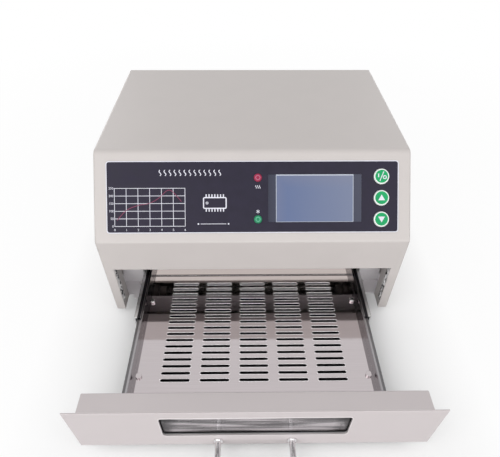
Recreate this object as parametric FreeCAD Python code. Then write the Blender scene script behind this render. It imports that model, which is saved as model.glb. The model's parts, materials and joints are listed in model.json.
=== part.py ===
import FreeCAD, Part
import math
import os

from FreeCAD import Placement, Rotation, Vector

os.makedirs("parts", exist_ok=True)

# Casing, in millimetres. Heights are above the bench, depths are behind the front plane.
WIDTH = 310.0
HEIGHT = 172.0
BODY_DEPTH = 262.0
FOOT_HEIGHT = 8.0
SHEET = 1.2
NOSE_Z = 108.5
TOP_FRONT_D = 62.5
FASCIA_BOTTOM_Z = 71.2
FASCIA_LIP = 12.0
CHEEK_INNER_X = 144.8
CHEEK_RETURN = 20.5
NOSE_BEND = 4.0
TOP_BEND = 9.0
EDGE_ROUND = 2.0
REAR_RECESS = 1.2

# Drawer, shown pulled out to its stop.
DRAWER_OPEN = 158.0
DRAWER_GAP = 0.5
PANEL_BOTTOM_Z = 8.5
PANEL_TOP_Z = 68.8
BOX_HALF_W = 143.0
BOX_DEPTH = 17.3
WINDOW_HALF_W = 79.2
WINDOW_Z0 = 27.2
WINDOW_Z1 = 59.1
WINDOW_CORNER = 3.0
GASKET = 1.0
GLASS = 3.0
GLASS_LAP = 4.0
HANDLE_HALF_SPAN = 32.4
HANDLE_Z = 17.7
HANDLE_ROD_R = 2.7
HANDLE_REACH = 27.0
HANDLE_BEND = 8.0

# Tray and its slides.
TRAY_HALF_W = 115.5
TRAY_FLOOR_Z = 27.0
TRAY_SHEET = 0.8
TRAY_REAR_D = 34.2
TRAY_SIDE_Z = 37.0
TRAY_REAR_Z = 39.0
SLOT_ROWS = 17
SLOT_COLUMNS = 5
SLOT_ROW_PITCH = 7.74
SLOT_COLUMN_PITCH = 37.6
SLOT_LENGTH = 28.4
SLOT_WIDTH = 3.3
SLOT_FIRST_D = -104.3
SLIDE_OUTER_X = 128.2
SLIDE_SHEET = 1.2
SLIDE_Z0 = 13.0
SLIDE_Z1 = 37.0
SLIDE_STEP = 2.2
SLIDE_LIP_X = 120.2
SLIDE_MIDDLE_WEB_X = 124.4
SLIDE_MIDDLE_LIP_X = 117.4
SLIDE_INNER_LIP_X = 121.0
SLIDE_FOOT = 11.5

# Heated chamber.
BULKHEAD_D = 42.0
CHAMBER_REAR_D = 198.0
CHAMBER_ROOF_Z = 104.0
CHAMBER_SHEET = 1.0
CHAMBER_FLOOR_Z = 11.8
MOUTH_TOP_Z = 74.0
BLANKET = 12.0
TUBE_COUNT = 4
TUBE_FIRST_D = 66.0
TUBE_PITCH = 35.0
TUBE_Z = 89.0
TUBE_R = 4.9
TUBE_BORE_R = 3.9
TUBE_HALF_L = 119.0
BRACKET_X = 119.0

# Control face. Heights run up the slope from the nose crease.
OVERLAY_HALF_W = 142.5
OVERLAY_S0 = 9.0
OVERLAY_S1 = 78.8
OVERLAY_CORNER = 3.0
OVERLAY = 0.5
DISPLAY_X = 60.6
DISPLAY_S = 42.5
DISPLAY_W = 91.6
DISPLAY_H = 46.4
DISPLAY_CORNER = 1.0
KEY_X = 125.7
KEY_S = (63.3, 42.5, 21.7)
KEY_R = 7.5
KEY_TRAVEL = 0.5
LAMP_X = 5.0
LAMP_S = (62.5, 22.1)
LAMP_R = 4.0

# Rear of the casing.
FAN_SIZE = 80.0
FAN_DEPTH = 25.0
FAN_Z = 74.0
FAN_HOLE_PITCH = 71.5
FAN_BLADES = 7
INLET_X = 105.0
INLET_Z = 42.0
SWITCH_Z = 84.0
SWITCH_TILT = 9.0
SWITCH_PIVOT = 0.5
SWITCH_TIP_D = 3.6
SWITCH_TIP_Z = 7.4

# Overshoot of a cutting shape, tolerance when edges are picked, and a close fit on the radius.
CUT = 1.0
NEAR = 0.01
CLOSE_FIT = 0.05

# Values worked out from the driving dimensions.
HALF_W = WIDTH / 2
INNER_HALF_W = HALF_W - SHEET
BASE_TOP_Z = FOOT_HEIGHT + SHEET
REAR_D = BODY_DEPTH - REAR_RECESS
PANEL_D = -DRAWER_OPEN
PANEL_BACK_D = PANEL_D + SHEET
BOX_BACK_D = PANEL_BACK_D + BOX_DEPTH
DRAWER_TRAVEL = DRAWER_OPEN - SHEET - DRAWER_GAP
FRONT_REACH = DRAWER_OPEN + HANDLE_REACH
SWITCH_LEAN = math.radians(SWITCH_TILT)
SWITCH_REACH = SWITCH_PIVOT + SWITCH_TIP_D * math.cos(SWITCH_LEAN) + SWITCH_TIP_Z * math.sin(SWITCH_LEAN)
REAR_REACH = REAR_D + SWITCH_REACH
FRONT_Y = (FRONT_REACH - REAR_REACH) / 2
FACE_ANGLE = math.atan2(HEIGHT - NOSE_Z, TOP_FRONT_D)
FACE = Placement(Vector(0, FRONT_Y, NOSE_Z), Rotation(Vector(1, 0, 0), math.degrees(FACE_ANGLE)))

X_AXIS = Vector(1, 0, 0)
Y_AXIS = Vector(0, 1, 0)
Z_AXIS = Vector(0, 0, 1)


def block(x0, x1, d0, d1, z0, z1):
    """Box between two corners."""
    return Part.makeBox(x1 - x0, d1 - d0, z1 - z0, Vector(x0, FRONT_Y + d0, z0))


def rod_x(x0, x1, d, z, r):
    """Round bar along the width."""
    return Part.makeCylinder(r, x1 - x0, Vector(x0, FRONT_Y + d, z), X_AXIS)


def rod_y(d0, d1, x, z, r):
    """Round bar along the depth."""
    return Part.makeCylinder(r, d1 - d0, Vector(x, FRONT_Y + d0, z), Y_AXIS)


def rod_z(z0, z1, x, d, r):
    """Upright round bar."""
    return Part.makeCylinder(r, z1 - z0, Vector(x, FRONT_Y + d, z0), Z_AXIS)


def prism_x(points, x0, x1):
    """Side profile of (depth, height) points, carried across the width."""
    corners = [Vector(x0, FRONT_Y + d, z) for d, z in points]
    outline = Part.makePolygon(corners + corners[:1])
    return Part.Face(outline).extrude(X_AXIS * (x1 - x0))


def prism_y(points, d0, d1):
    """Cross-section of (x, height) points, carried along the depth."""
    corners = [Vector(x, FRONT_Y + d0, z) for x, z in points]
    outline = Part.makePolygon(corners + corners[:1])
    return Part.Face(outline).extrude(Y_AXIS * (d1 - d0))


def slot(centre, along, through, length, width, depth):
    """Round-ended slot: two straight sides and two half-round ends."""
    half_run = along * ((length - width) / 2)
    half_gap = through.cross(along) * (width / 2)
    tip = along * (length / 2)
    base = centre - through * (depth / 2)
    lower = [base - half_run - half_gap, base + half_run - half_gap]
    upper = [base + half_run + half_gap, base - half_run + half_gap]
    edges = [
        Part.LineSegment(*lower),
        Part.Arc(lower[1], base + tip, upper[0]),
        Part.LineSegment(*upper),
        Part.Arc(upper[1], base - tip, lower[0]),
    ]
    outline = Part.Wire([edge.toShape() for edge in edges])
    return Part.Face(outline).extrude(through * depth)


def rounded(shape, axis, radius):
    """Shape with its edges along one axis rounded."""
    edges = []
    for edge in shape.Edges:
        run = edge.Vertexes[-1].Point - edge.Vertexes[0].Point
        if run.Length > NEAR and run.normalize().cross(axis).Length < NEAR:
            edges.append(edge)
    return shape.makeFillet(radius, edges)


def plate_y(half_w, z0, z1, d0, d1, corner):
    """Upright plate across the width with rounded corners."""
    return rounded(block(-half_w, half_w, d0, d1, z0, z1), Y_AXIS, corner)


def on_face(shape):
    """Shape drawn flat (x, up the slope, outwards), laid on the control face."""
    placed = shape.copy()
    placed.Placement = FACE.multiply(placed.Placement)
    return placed


def face_block(x0, x1, s0, s1, n0, n1):
    """Box in the control face's own directions."""
    return Part.makeBox(x1 - x0, s1 - s0, n1 - n0, Vector(x0, s0, n0))


def face_rod(x, s, n0, n1, r):
    """Round bar square to the control face."""
    return Part.makeCylinder(r, n1 - n0, Vector(x, s, n0), Z_AXIS)


def mirrored(shape):
    """The same shape on the other side of the oven."""
    return shape.mirror(Vector(0, 0, 0), X_AXIS)


def joined(shapes):
    """One solid from overlapping pieces."""
    return shapes[0].multiFuse(shapes[1:]).removeSplitter()


def group(shapes):
    """Separate solids that share a node."""
    return Part.makeCompound(shapes)


# Casing panels

SIDE_SCREW_D = (48.0, 140.0, 238.0)
SIDE_SCREW_Z = 15.0
REAR_SCREW_X = (-140.0, 140.0)
REAR_SCREW_Z = 15.0
SCREW_HOLE_R = 1.7
SCREW_R = 1.6
SCREW_HEAD_R = 3.0
SCREW_HEAD = 1.5
SCREW_LENGTH = 7.0
BASE_FRONT_D = CHEEK_RETURN
BASE_FLANGE = 12.0
BASE_SIDE_SETBACK = 3.0
BASE_BACK_SETBACK = 4.0
BASE_TAB_X = -135.3
BASE_TAB_L = 12.0
BASE_TAB_W = 6.6
FOOT_X = 132.0
FOOT_D = (36.0, 240.0)
FOOT_R = 9.0
FOOT_TAPER = 1.0
FOOT_HOLE_R = 2.0
FOOT_RECESS = 4.5
FOOT_RECESS_R = 4.2
FOOT_SCREW_Z0 = 2.2
FOOT_SCREW_Z1 = 14.0
FOOT_SCREW_HEAD_R = 3.6
VENT_CUT = 8.0
SIDE_VENT_Z = (118.0, 150.0)
SIDE_VENT_COUNT = 8
SIDE_VENT_D0 = 192.0
SIDE_VENT_PITCH = 7.0
SIDE_VENT_L = 24.0
SIDE_VENT_W = 3.4
BASE_VENT_COUNT = 9
BASE_VENT_PITCH = 12.0
BASE_VENT_D = (212.0, 244.0)
BASE_VENT_L = 20.0
BASE_VENT_W = 3.6
REAR_VENT_COUNT = 9
REAR_VENT_X0 = -130.0
REAR_VENT_PITCH = 8.0
REAR_VENT_Z = 132.0
REAR_VENT_L = 34.0
REAR_VENT_W = 3.6
FACE_CUT = 5.0
KEY_GAP = 0.4
LAMP_GAP = 0.1
FOIL = 0.4
FOIL_D = (1.0, 8.0)
FOIL_Z0 = 18.0
FOIL_TOP_GAP = 0.5


def hood_profile(inset, floor_z, rear_d):
    """Front, control face, top and back of the casing, moved inwards by the inset."""
    sine, cosine = math.sin(FACE_ANGLE), math.cos(FACE_ANGLE)
    nose_z = NOSE_Z + inset * ((1 - sine) * sine / cosine - cosine)
    run = (HEIGHT - inset - NOSE_Z + inset * cosine) / sine
    top_front_d = run * cosine + inset * sine
    top_z = HEIGHT - inset
    return [(inset, floor_z), (inset, nose_z), (top_front_d, top_z), (rear_d, top_z), (rear_d, floor_z)]


def hood_solid(inset, half_w, floor_z, rear_d):
    """Casing profile across the width, with its two soft bends."""
    points = hood_profile(inset, floor_z, rear_d)
    solid = prism_x(points, -half_w, half_w)
    for (d, z), radius in ((points[1], NOSE_BEND), (points[2], TOP_BEND)):
        crease = Vector(0, FRONT_Y + d, z)
        edges = [edge for edge in solid.Edges if (edge.CenterOfMass - crease).Length < NEAR]
        solid = solid.makeFillet(radius - inset, edges)
    return solid


def hood_shell():
    """Top, control face, fascia and sides as one bent sheet, open below and behind."""
    outer = hood_solid(0, HALF_W, FOOT_HEIGHT, BODY_DEPTH)
    rear_y = FRONT_Y + BODY_DEPTH
    side_edges = []
    for edge in outer.Edges:
        on_side = all(abs(abs(vertex.X) - HALF_W) < NEAR for vertex in edge.Vertexes)
        middle = edge.CenterOfMass
        crosses = abs(middle.x) < HALF_W - NEAR
        at_floor = abs(middle.z - FOOT_HEIGHT) < NEAR
        at_rear = abs(middle.y - rear_y) < NEAR
        if on_side and not (crosses or at_floor or at_rear):
            side_edges.append(edge)
    outer = outer.makeFillet(EDGE_ROUND, side_edges)
    return outer.cut(hood_solid(SHEET, INNER_HALF_W, 0, BODY_DEPTH + CUT))


def control_cutters():
    """Display aperture, key holes and lamp holes of the control face."""
    aperture = face_block(
        DISPLAY_X - DISPLAY_W / 2,
        DISPLAY_X + DISPLAY_W / 2,
        DISPLAY_S - DISPLAY_H / 2,
        DISPLAY_S + DISPLAY_H / 2,
        -FACE_CUT,
        FACE_CUT,
    )
    cutters = [rounded(aperture, Z_AXIS, DISPLAY_CORNER)]
    cutters += [face_rod(KEY_X, s, -FACE_CUT, FACE_CUT, KEY_R + KEY_GAP) for s in KEY_S]
    cutters += [face_rod(LAMP_X, s, -FACE_CUT, FACE_CUT, LAMP_R + LAMP_GAP) for s in LAMP_S]
    return cutters


def top_cover(shell):
    """Top, control face and fascia, with a cheek down each side of the drawer bay."""
    wrap = shell.common(block(-INNER_HALF_W, INNER_HALF_W, -CUT, BODY_DEPTH + CUT, 0, HEIGHT + CUT))
    bay = block(-CHEEK_INNER_X, CHEEK_INNER_X, -CUT, SHEET + CUT, 0, FASCIA_BOTTOM_Z)
    cheek = block(CHEEK_INNER_X, CHEEK_INNER_X + SHEET, 0, CHEEK_RETURN, FOOT_HEIGHT, FASCIA_BOTTOM_Z)
    lip_z1 = FASCIA_BOTTOM_Z + SHEET
    lip = block(-CHEEK_INNER_X - SHEET, CHEEK_INNER_X + SHEET, SHEET, FASCIA_LIP, FASCIA_BOTTOM_Z, lip_z1)
    cover = joined([wrap.cut(bay), cheek, mirrored(cheek), lip])
    return cover.cut([on_face(cutter) for cutter in control_cutters()])


def side_panel(shell):
    """Right-hand side with cooling slots near the back."""
    panel = shell.common(block(INNER_HALF_W, HALF_W + CUT, -CUT, BODY_DEPTH + CUT, 0, HEIGHT + CUT))
    vents = []
    for row_z in SIDE_VENT_Z:
        for index in range(SIDE_VENT_COUNT):
            centre = Vector(HALF_W, FRONT_Y + SIDE_VENT_D0 + SIDE_VENT_PITCH * index, row_z)
            vents.append(slot(centre, Z_AXIS, X_AXIS, SIDE_VENT_L, SIDE_VENT_W, VENT_CUT))
    x0, x1 = INNER_HALF_W - CUT, HALF_W + CUT
    holes = [rod_x(x0, x1, d, SIDE_SCREW_Z, SCREW_HOLE_R) for d in SIDE_SCREW_D]
    return panel.cut(vents + holes)


def base_plate():
    """Floor of the casing with upturned sides and back, a front tab and vents."""
    floor = block(-INNER_HALF_W, INNER_HALF_W, BASE_FRONT_D, REAR_D - SHEET, FOOT_HEIGHT, BASE_TOP_Z)
    flange_z = BASE_TOP_Z + BASE_FLANGE
    flange_rear_d = REAR_D - 2 * SHEET
    flange_x = INNER_HALF_W - SHEET
    side_d0 = BASE_FRONT_D + BASE_SIDE_SETBACK
    side = block(flange_x, INNER_HALF_W, side_d0, flange_rear_d, FOOT_HEIGHT, flange_z)
    side = side.cut([rod_x(flange_x - CUT, HALF_W, d, SIDE_SCREW_Z, SCREW_HOLE_R) for d in SIDE_SCREW_D])
    back_half_w = INNER_HALF_W - BASE_BACK_SETBACK
    back = block(-back_half_w, back_half_w, flange_rear_d, REAR_D - SHEET, FOOT_HEIGHT, flange_z)
    back = back.cut([rod_y(flange_rear_d - CUT, REAR_D, x, REAR_SCREW_Z, SCREW_HOLE_R) for x in REAR_SCREW_X])
    tab_centre = Vector(BASE_TAB_X, FRONT_Y + BASE_FRONT_D, (FOOT_HEIGHT + BASE_TOP_Z) / 2)
    tab = slot(tab_centre, Y_AXIS, Z_AXIS, BASE_TAB_L, BASE_TAB_W, SHEET)
    plate = joined([floor, side, mirrored(side), back, tab])
    vents = []
    for index in range(BASE_VENT_COUNT):
        for d in BASE_VENT_D:
            x = (index - (BASE_VENT_COUNT - 1) / 2) * BASE_VENT_PITCH
            centre = Vector(x, FRONT_Y + d, FOOT_HEIGHT)
            vents.append(slot(centre, Y_AXIS, Z_AXIS, BASE_VENT_L, BASE_VENT_W, VENT_CUT))
    feet = [rod_z(0, BASE_TOP_Z + CUT, x, d, FOOT_HOLE_R) for x, d in foot_places()]
    return plate.cut(vents + feet)


def rubber_foot(x, d):
    """Tapered foot with a recess for its screw."""
    axis_foot = Vector(x, FRONT_Y + d, 0)
    foot = Part.makeCone(FOOT_R - FOOT_TAPER, FOOT_R, FOOT_HEIGHT, axis_foot, Z_AXIS)
    recess = rod_z(-CUT, FOOT_RECESS, x, d, FOOT_RECESS_R)
    return foot.cut([recess, rod_z(0, FOOT_HEIGHT + CUT, x, d, FOOT_HOLE_R)])


def foot_screw(x, d):
    """Pan-headed screw up through a foot into the base."""
    head = rod_z(FOOT_SCREW_Z0, FOOT_RECESS, x, d, FOOT_SCREW_HEAD_R)
    return joined([head, rod_z(FOOT_RECESS - CUT, FOOT_SCREW_Z1, x, d, FOOT_HOLE_R - CLOSE_FIT)])


def rear_panel():
    """Back of the casing with fan, inlet and switch openings and cooling slots."""
    panel = block(-INNER_HALF_W, INNER_HALF_W, REAR_D - SHEET, REAR_D, FOOT_HEIGHT, HEIGHT - SHEET)
    d0, d1 = REAR_D - SHEET - CUT, REAR_D + CUT
    cutters = [rod_y(d0, d1, 0, FAN_Z, FAN_OPENING_R)]
    cutters += [rod_y(d0, d1, x, z, FAN_HOLE_R) for x, z in fan_corners()]
    cutters.append(rear_block(INLET_HALF_W + PANEL_GAP, d0, d1, INLET_Z, INLET_HALF_H + PANEL_GAP))
    cutters.append(rear_block(SWITCH_HALF_W + PANEL_GAP, d0, d1, SWITCH_Z, SWITCH_HALF_H + PANEL_GAP))
    cutters += [rod_y(d0, d1, x, REAR_SCREW_Z, SCREW_HOLE_R) for x in REAR_SCREW_X]
    ears = [INLET_X + side * INLET_SCREW_X for side in (-1, 1)]
    cutters += [rod_y(d0, d1, x, INLET_Z, SCREW_HOLE_R) for x in ears]
    for index in range(REAR_VENT_COUNT):
        centre = Vector(REAR_VENT_X0 + REAR_VENT_PITCH * index, FRONT_Y + REAR_D, REAR_VENT_Z)
        cutters.append(slot(centre, Z_AXIS, Y_AXIS, REAR_VENT_L, REAR_VENT_W, VENT_CUT))
    return panel.cut(cutters)


def side_screw(d):
    """Casing screw through the right-hand side into the base flange."""
    head = rod_x(HALF_W, HALF_W + SCREW_HEAD, d, SIDE_SCREW_Z, SCREW_HEAD_R)
    shank = rod_x(HALF_W - SCREW_LENGTH, HALF_W + CUT, d, SIDE_SCREW_Z, SCREW_R)
    return joined([head, shank])


def rear_screw(x):
    """Casing screw through the back panel into the base flange."""
    head = rod_y(REAR_D, REAR_D + SCREW_HEAD, x, REAR_SCREW_Z, SCREW_HEAD_R)
    shank = rod_y(REAR_D - SCREW_LENGTH, REAR_D + CUT, x, REAR_SCREW_Z, SCREW_R)
    return joined([head, shank])


def foot_places():
    """Centre of each foot as x and depth."""
    return [(x, d) for x in (-FOOT_X, FOOT_X) for d in FOOT_D]


def case_screws():
    """Screws of the sides and the feet."""
    sides = [side_screw(d) for d in SIDE_SCREW_D]
    feet = [foot_screw(x, d) for x, d in foot_places()]
    return group(sides + [mirrored(screw) for screw in sides] + feet)


def rear_screws():
    """Screws of the back panel, the fan and the inlet."""
    panel = [rear_screw(x) for x in REAR_SCREW_X]
    fan = [fan_screw(x, z) for x, z in fan_corners()]
    return group(panel + fan + [inlet_screw(side) for side in (-1, 1)])


def foil_strip():
    """Foil tape down the inner face of the right-hand cheek."""
    return block(CHEEK_INNER_X - FOIL, CHEEK_INNER_X, *FOIL_D, FOIL_Z0, FASCIA_BOTTOM_Z - FOIL_TOP_GAP)


# Heated chamber

WALL_OUTER_X = SLIDE_OUTER_X + CHAMBER_SHEET
BULKHEAD_BACK_D = BULKHEAD_D + SHEET
BLANKET_FRONT_SETBACK = 8.0
BLANKET_REAR_SETBACK = 2.0
COIL_R = 1.5
CAP_LENGTH = 7.0
CAP_HEAD_R = 8.5
CAP_SPIGOT_R = 6.0
BRACKET_MARGIN = 12.0
BRACKET_FLANGE = 8.0
PROBE_X = 114.5
PROBE_Z = 66.0
PROBE_D0 = 140.0
PROBE_TAIL = 8.0
PROBE_R = 1.5
PROBE_COLLAR = 5.0
PROBE_COLLAR_R = 4.0
AIR_HOLE_Z = 64.0
AIR_HOLE_R = 32.0


def tube_depths():
    """Depth of each heater tube."""
    return [TUBE_FIRST_D + TUBE_PITCH * index for index in range(TUBE_COUNT)]


def front_bulkhead():
    """Front wall of the chamber round the drawer mouth."""
    half_w = INNER_HALF_W - SHEET
    wall = block(-half_w, half_w, BULKHEAD_D, BULKHEAD_BACK_D, BASE_TOP_Z, CHAMBER_ROOF_Z)
    mouth = block(-SLIDE_OUTER_X, SLIDE_OUTER_X, BULKHEAD_D - CUT, BULKHEAD_BACK_D + CUT, 0, MOUTH_TOP_Z)
    return wall.cut(mouth)


def chamber_wall():
    """Right-hand wall of the chamber, which carries a slide."""
    wall = block(SLIDE_OUTER_X, WALL_OUTER_X, BULKHEAD_BACK_D, CHAMBER_REAR_D, BASE_TOP_Z, CHAMBER_ROOF_Z)
    x0, x1 = SLIDE_OUTER_X - CUT, WALL_OUTER_X + CUT
    return wall.cut([rod_x(x0, x1, d, z, SCREW_HOLE_R) for d, z in slide_screw_places()])


def chamber_rear_wall():
    """Back wall of the chamber with the air hole in line with the fan."""
    rear_d1 = CHAMBER_REAR_D + CHAMBER_SHEET
    wall = block(-WALL_OUTER_X, WALL_OUTER_X, CHAMBER_REAR_D, rear_d1, BASE_TOP_Z, CHAMBER_ROOF_Z)
    d0, d1 = CHAMBER_REAR_D - CUT, rear_d1 + CUT
    probes = [rod_y(d0, d1, x, PROBE_Z, PROBE_R) for x in (-PROBE_X, PROBE_X)]
    return wall.cut([rod_y(d0, d1, 0, AIR_HOLE_Z, AIR_HOLE_R)] + probes)


def chamber_roof():
    """Polished reflector over the heater tubes."""
    rear_d1 = CHAMBER_REAR_D + CHAMBER_SHEET
    roof_z1 = CHAMBER_ROOF_Z + CHAMBER_SHEET
    return block(-WALL_OUTER_X, WALL_OUTER_X, BULKHEAD_D, rear_d1, CHAMBER_ROOF_Z, roof_z1)


def chamber_floor():
    """Polished plate under the tray, on a folded edge at each side."""
    d0, d1 = BULKHEAD_BACK_D, CHAMBER_REAR_D
    plate = block(-SLIDE_OUTER_X, SLIDE_OUTER_X, d0, d1, CHAMBER_FLOOR_Z - TRAY_SHEET, CHAMBER_FLOOR_Z)
    edge = block(SLIDE_OUTER_X - TRAY_SHEET, SLIDE_OUTER_X, d0, d1, BASE_TOP_Z, CHAMBER_FLOOR_Z)
    return joined([plate, edge, mirrored(edge)])


def insulation_blanket():
    """Ceramic-fibre mat on the chamber roof."""
    z0 = CHAMBER_ROOF_Z + CHAMBER_SHEET
    d0 = BULKHEAD_D + BLANKET_FRONT_SETBACK
    d1 = CHAMBER_REAR_D - BLANKET_REAR_SETBACK
    return block(-SLIDE_OUTER_X, SLIDE_OUTER_X, d0, d1, z0, z0 + BLANKET)


def heater_tube(d):
    """Quartz tube across the chamber."""
    tube = rod_x(-TUBE_HALF_L, TUBE_HALF_L, d, TUBE_Z, TUBE_R)
    return tube.cut(rod_x(-TUBE_HALF_L - CUT, TUBE_HALF_L + CUT, d, TUBE_Z, TUBE_BORE_R))


def heater_coil(d):
    """Heating wire inside a tube, at the outside of its winding."""
    return rod_x(-BRACKET_X - CAP_LENGTH, BRACKET_X + CAP_LENGTH, d, TUBE_Z, COIL_R)


def tube_end_cap(d):
    """Ceramic cap on the right-hand end of a tube."""
    seat_x = BRACKET_X + CHAMBER_SHEET
    end_x = seat_x + CAP_LENGTH
    spigot = rod_x(BRACKET_X - CAP_LENGTH, seat_x + CUT, d, TUBE_Z, CAP_SPIGOT_R)
    head = rod_x(seat_x, end_x, d, TUBE_Z, CAP_HEAD_R)
    bore = rod_x(BRACKET_X - CAP_LENGTH - CUT, TUBE_HALF_L + CLOSE_FIT, d, TUBE_Z, TUBE_R + CLOSE_FIT)
    wire_hole = rod_x(BRACKET_X - CUT, end_x + CUT, d, TUBE_Z, COIL_R + CLOSE_FIT)
    return joined([spigot, head]).cut([bore, wire_hole])


def tube_bracket():
    """Right-hand strip hung from the chamber roof that holds the tube ends."""
    d0, d1 = TUBE_FIRST_D - BRACKET_MARGIN, tube_depths()[-1] + BRACKET_MARGIN
    seat_x = BRACKET_X + CHAMBER_SHEET
    web = block(BRACKET_X, seat_x, d0, d1, TUBE_Z - BRACKET_MARGIN, CHAMBER_ROOF_Z)
    flange_z0 = CHAMBER_ROOF_Z - CHAMBER_SHEET
    flange = block(BRACKET_X, BRACKET_X + BRACKET_FLANGE, d0, d1, flange_z0, CHAMBER_ROOF_Z)
    hole_r = CAP_SPIGOT_R + CLOSE_FIT
    holes = [rod_x(BRACKET_X - CUT, seat_x + CUT, d, TUBE_Z, hole_r) for d in tube_depths()]
    return joined([web, flange]).cut(holes)


def probe(x):
    """Temperature probe through the back wall of the chamber, with its collar."""
    stem = rod_y(PROBE_D0, CHAMBER_REAR_D + PROBE_TAIL, x, PROBE_Z, PROBE_R - CLOSE_FIT)
    collar_d = CHAMBER_REAR_D + CHAMBER_SHEET
    collar = rod_y(collar_d, CHAMBER_REAR_D + PROBE_COLLAR, x, PROBE_Z, PROBE_COLLAR_R)
    return joined([stem, collar])


# Drawer

TRAY_FRONT_D = BOX_BACK_D
TRAY_UNDER_Z = TRAY_FLOOR_Z - TRAY_SHEET
TRAY_SCREW_X = 110.0
TRAY_SCREW_D = (-100.0, -6.5)
TRAY_SCREW_HEAD = 2.2
TRAY_TAB_X = 86.0
TRAY_TAB_SCREW_X = 102.0
TRAY_TAB_SCREW_Z = 32.0
TRAY_TAB_SCREW_LENGTH = 5.0
BOX_BOTTOM_Z = PANEL_BOTTOM_Z + 1.5
GLASS_HALF_W = WINDOW_HALF_W + GLASS_LAP
GLASS_Z0 = WINDOW_Z0 - GLASS_LAP
GLASS_Z1 = WINDOW_Z1 + GLASS_LAP
GLASS_D0 = PANEL_BACK_D + GASKET
GLASS_D1 = GLASS_D0 + GLASS
GASKET_LIP = 0.4
FRAME_FLANGE = 6.0
FRAME_FLANGE_Z = 1.0
FRAME_SCREW_X = GLASS_HALF_W + FRAME_FLANGE / 2
FRAME_SCREW_INSET = 6.0
FRAME_SCREW_R = 1.5
FRAME_SPACER_R = 2.6
FRAME_STUD = 5.0
FRAME_NUT = 2.4
FRAME_NUT_R = 2.8
HANDLE_SCREW_R = 1.5
HANDLE_SCREW_HEAD = 2.2
HANDLE_SCREW_HEAD_R = 3.2
HANDLE_THREAD = 10.0
HANDLE_COLLAR = 1.6
HANDLE_COLLAR_R = 4.1


def frame_screw_places():
    """Where the window frame is bolted to the panel, clear of the glass."""
    heights = (GLASS_Z0 + FRAME_SCREW_INSET, GLASS_Z1 - FRAME_SCREW_INSET)
    return [(x, z) for x in (-FRAME_SCREW_X, FRAME_SCREW_X) for z in heights]


def window_cutter(d0, d1, grow):
    """Window opening, made larger by grow on every side."""
    corner = WINDOW_CORNER + grow
    return plate_y(WINDOW_HALF_W + grow, WINDOW_Z0 - grow, WINDOW_Z1 + grow, d0, d1, corner)


def drawer_front_panel():
    """Drawer front, as wide as the casing, with the window opening."""
    panel = block(-HALF_W, HALF_W, PANEL_D, PANEL_BACK_D, PANEL_BOTTOM_Z, PANEL_TOP_Z)
    front_edges = [edge for edge in panel.Edges if abs(edge.CenterOfMass.y - FRONT_Y - PANEL_D) < NEAR]
    panel = panel.makeFillet(SHEET / 2, front_edges)
    d0, d1 = PANEL_D - CUT, PANEL_BACK_D + CUT
    holes = [rod_y(d0, d1, x, HANDLE_Z, HANDLE_SCREW_R + CLOSE_FIT) for x in handle_legs()]
    return panel.cut([window_cutter(d0, d1, 0)] + holes)


def drawer_front_box():
    """Folded box behind the panel, narrow enough to enter the drawer bay."""
    z0, z1 = BOX_BOTTOM_Z, PANEL_TOP_Z
    box = block(-BOX_HALF_W, BOX_HALF_W, PANEL_BACK_D, BOX_BACK_D, z0, z1)
    fold_edges = [edge for edge in box.Edges if abs(edge.CenterOfMass.y - FRONT_Y - BOX_BACK_D) < NEAR]
    box = box.makeFillet(SHEET, fold_edges)
    inner_half_w = BOX_HALF_W - SHEET
    inner_d1 = BOX_BACK_D - SHEET
    hollow = block(-inner_half_w, inner_half_w, PANEL_BACK_D - CUT, inner_d1, z0 + SHEET, z1 - SHEET)
    d0, d1 = inner_d1 - CUT, BOX_BACK_D + CUT
    opening = window_cutter(d0, d1, CHAMBER_SHEET)
    tray_holes = [rod_y(d0, d1, x, TRAY_TAB_SCREW_Z, SCREW_HOLE_R) for x in tray_tabs()]
    return box.cut([hollow, opening] + tray_holes)


def window_gasket():
    """Rubber ring between the panel and the glass."""
    ring = plate_y(GLASS_HALF_W, GLASS_Z0, GLASS_Z1, PANEL_BACK_D, GLASS_D0, WINDOW_CORNER)
    return ring.cut(window_cutter(PANEL_BACK_D - CUT, GLASS_D0 + CUT, GASKET_LIP))


def window_glass():
    """Toughened glass behind the window opening."""
    return plate_y(GLASS_HALF_W, GLASS_Z0, GLASS_Z1, GLASS_D0, GLASS_D1, WINDOW_CORNER)


def window_frame():
    """Liner from the glass to the back of the box, with a flange that clamps the glass."""
    half_w = GLASS_HALF_W + FRAME_FLANGE
    z0, z1 = GLASS_Z0 - FRAME_FLANGE_Z, GLASS_Z1 + FRAME_FLANGE_Z
    flange_d1 = GLASS_D1 + CHAMBER_SHEET
    flange = plate_y(half_w, z0, z1, GLASS_D1, flange_d1, WINDOW_CORNER)
    liner = window_cutter(GLASS_D1, BOX_BACK_D, CHAMBER_SHEET)
    frame = joined([flange, liner]).cut(window_cutter(GLASS_D1 - CUT, BOX_BACK_D + CUT, 0))
    hole_r = FRAME_SCREW_R + CLOSE_FIT
    return frame.cut([rod_y(GLASS_D1 - CUT, flange_d1 + CUT, x, z, hole_r) for x, z in frame_screw_places()])


def window_frame_bolt(x, z):
    """Stud on the back of the panel with the nut that holds the window frame."""
    nut_d0 = GLASS_D1 + CHAMBER_SHEET
    spacer = rod_y(PANEL_BACK_D, GLASS_D1, x, z, FRAME_SPACER_R)
    stud = rod_y(PANEL_BACK_D, GLASS_D1 + FRAME_STUD, x, z, FRAME_SCREW_R)
    nut = rod_y(nut_d0, nut_d0 + FRAME_NUT, x, z, FRAME_NUT_R)
    return joined([spacer, stud, nut])


def handle_legs():
    """Sideways place of each leg of the handle."""
    return (-HANDLE_HALF_SPAN, HANDLE_HALF_SPAN)


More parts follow.
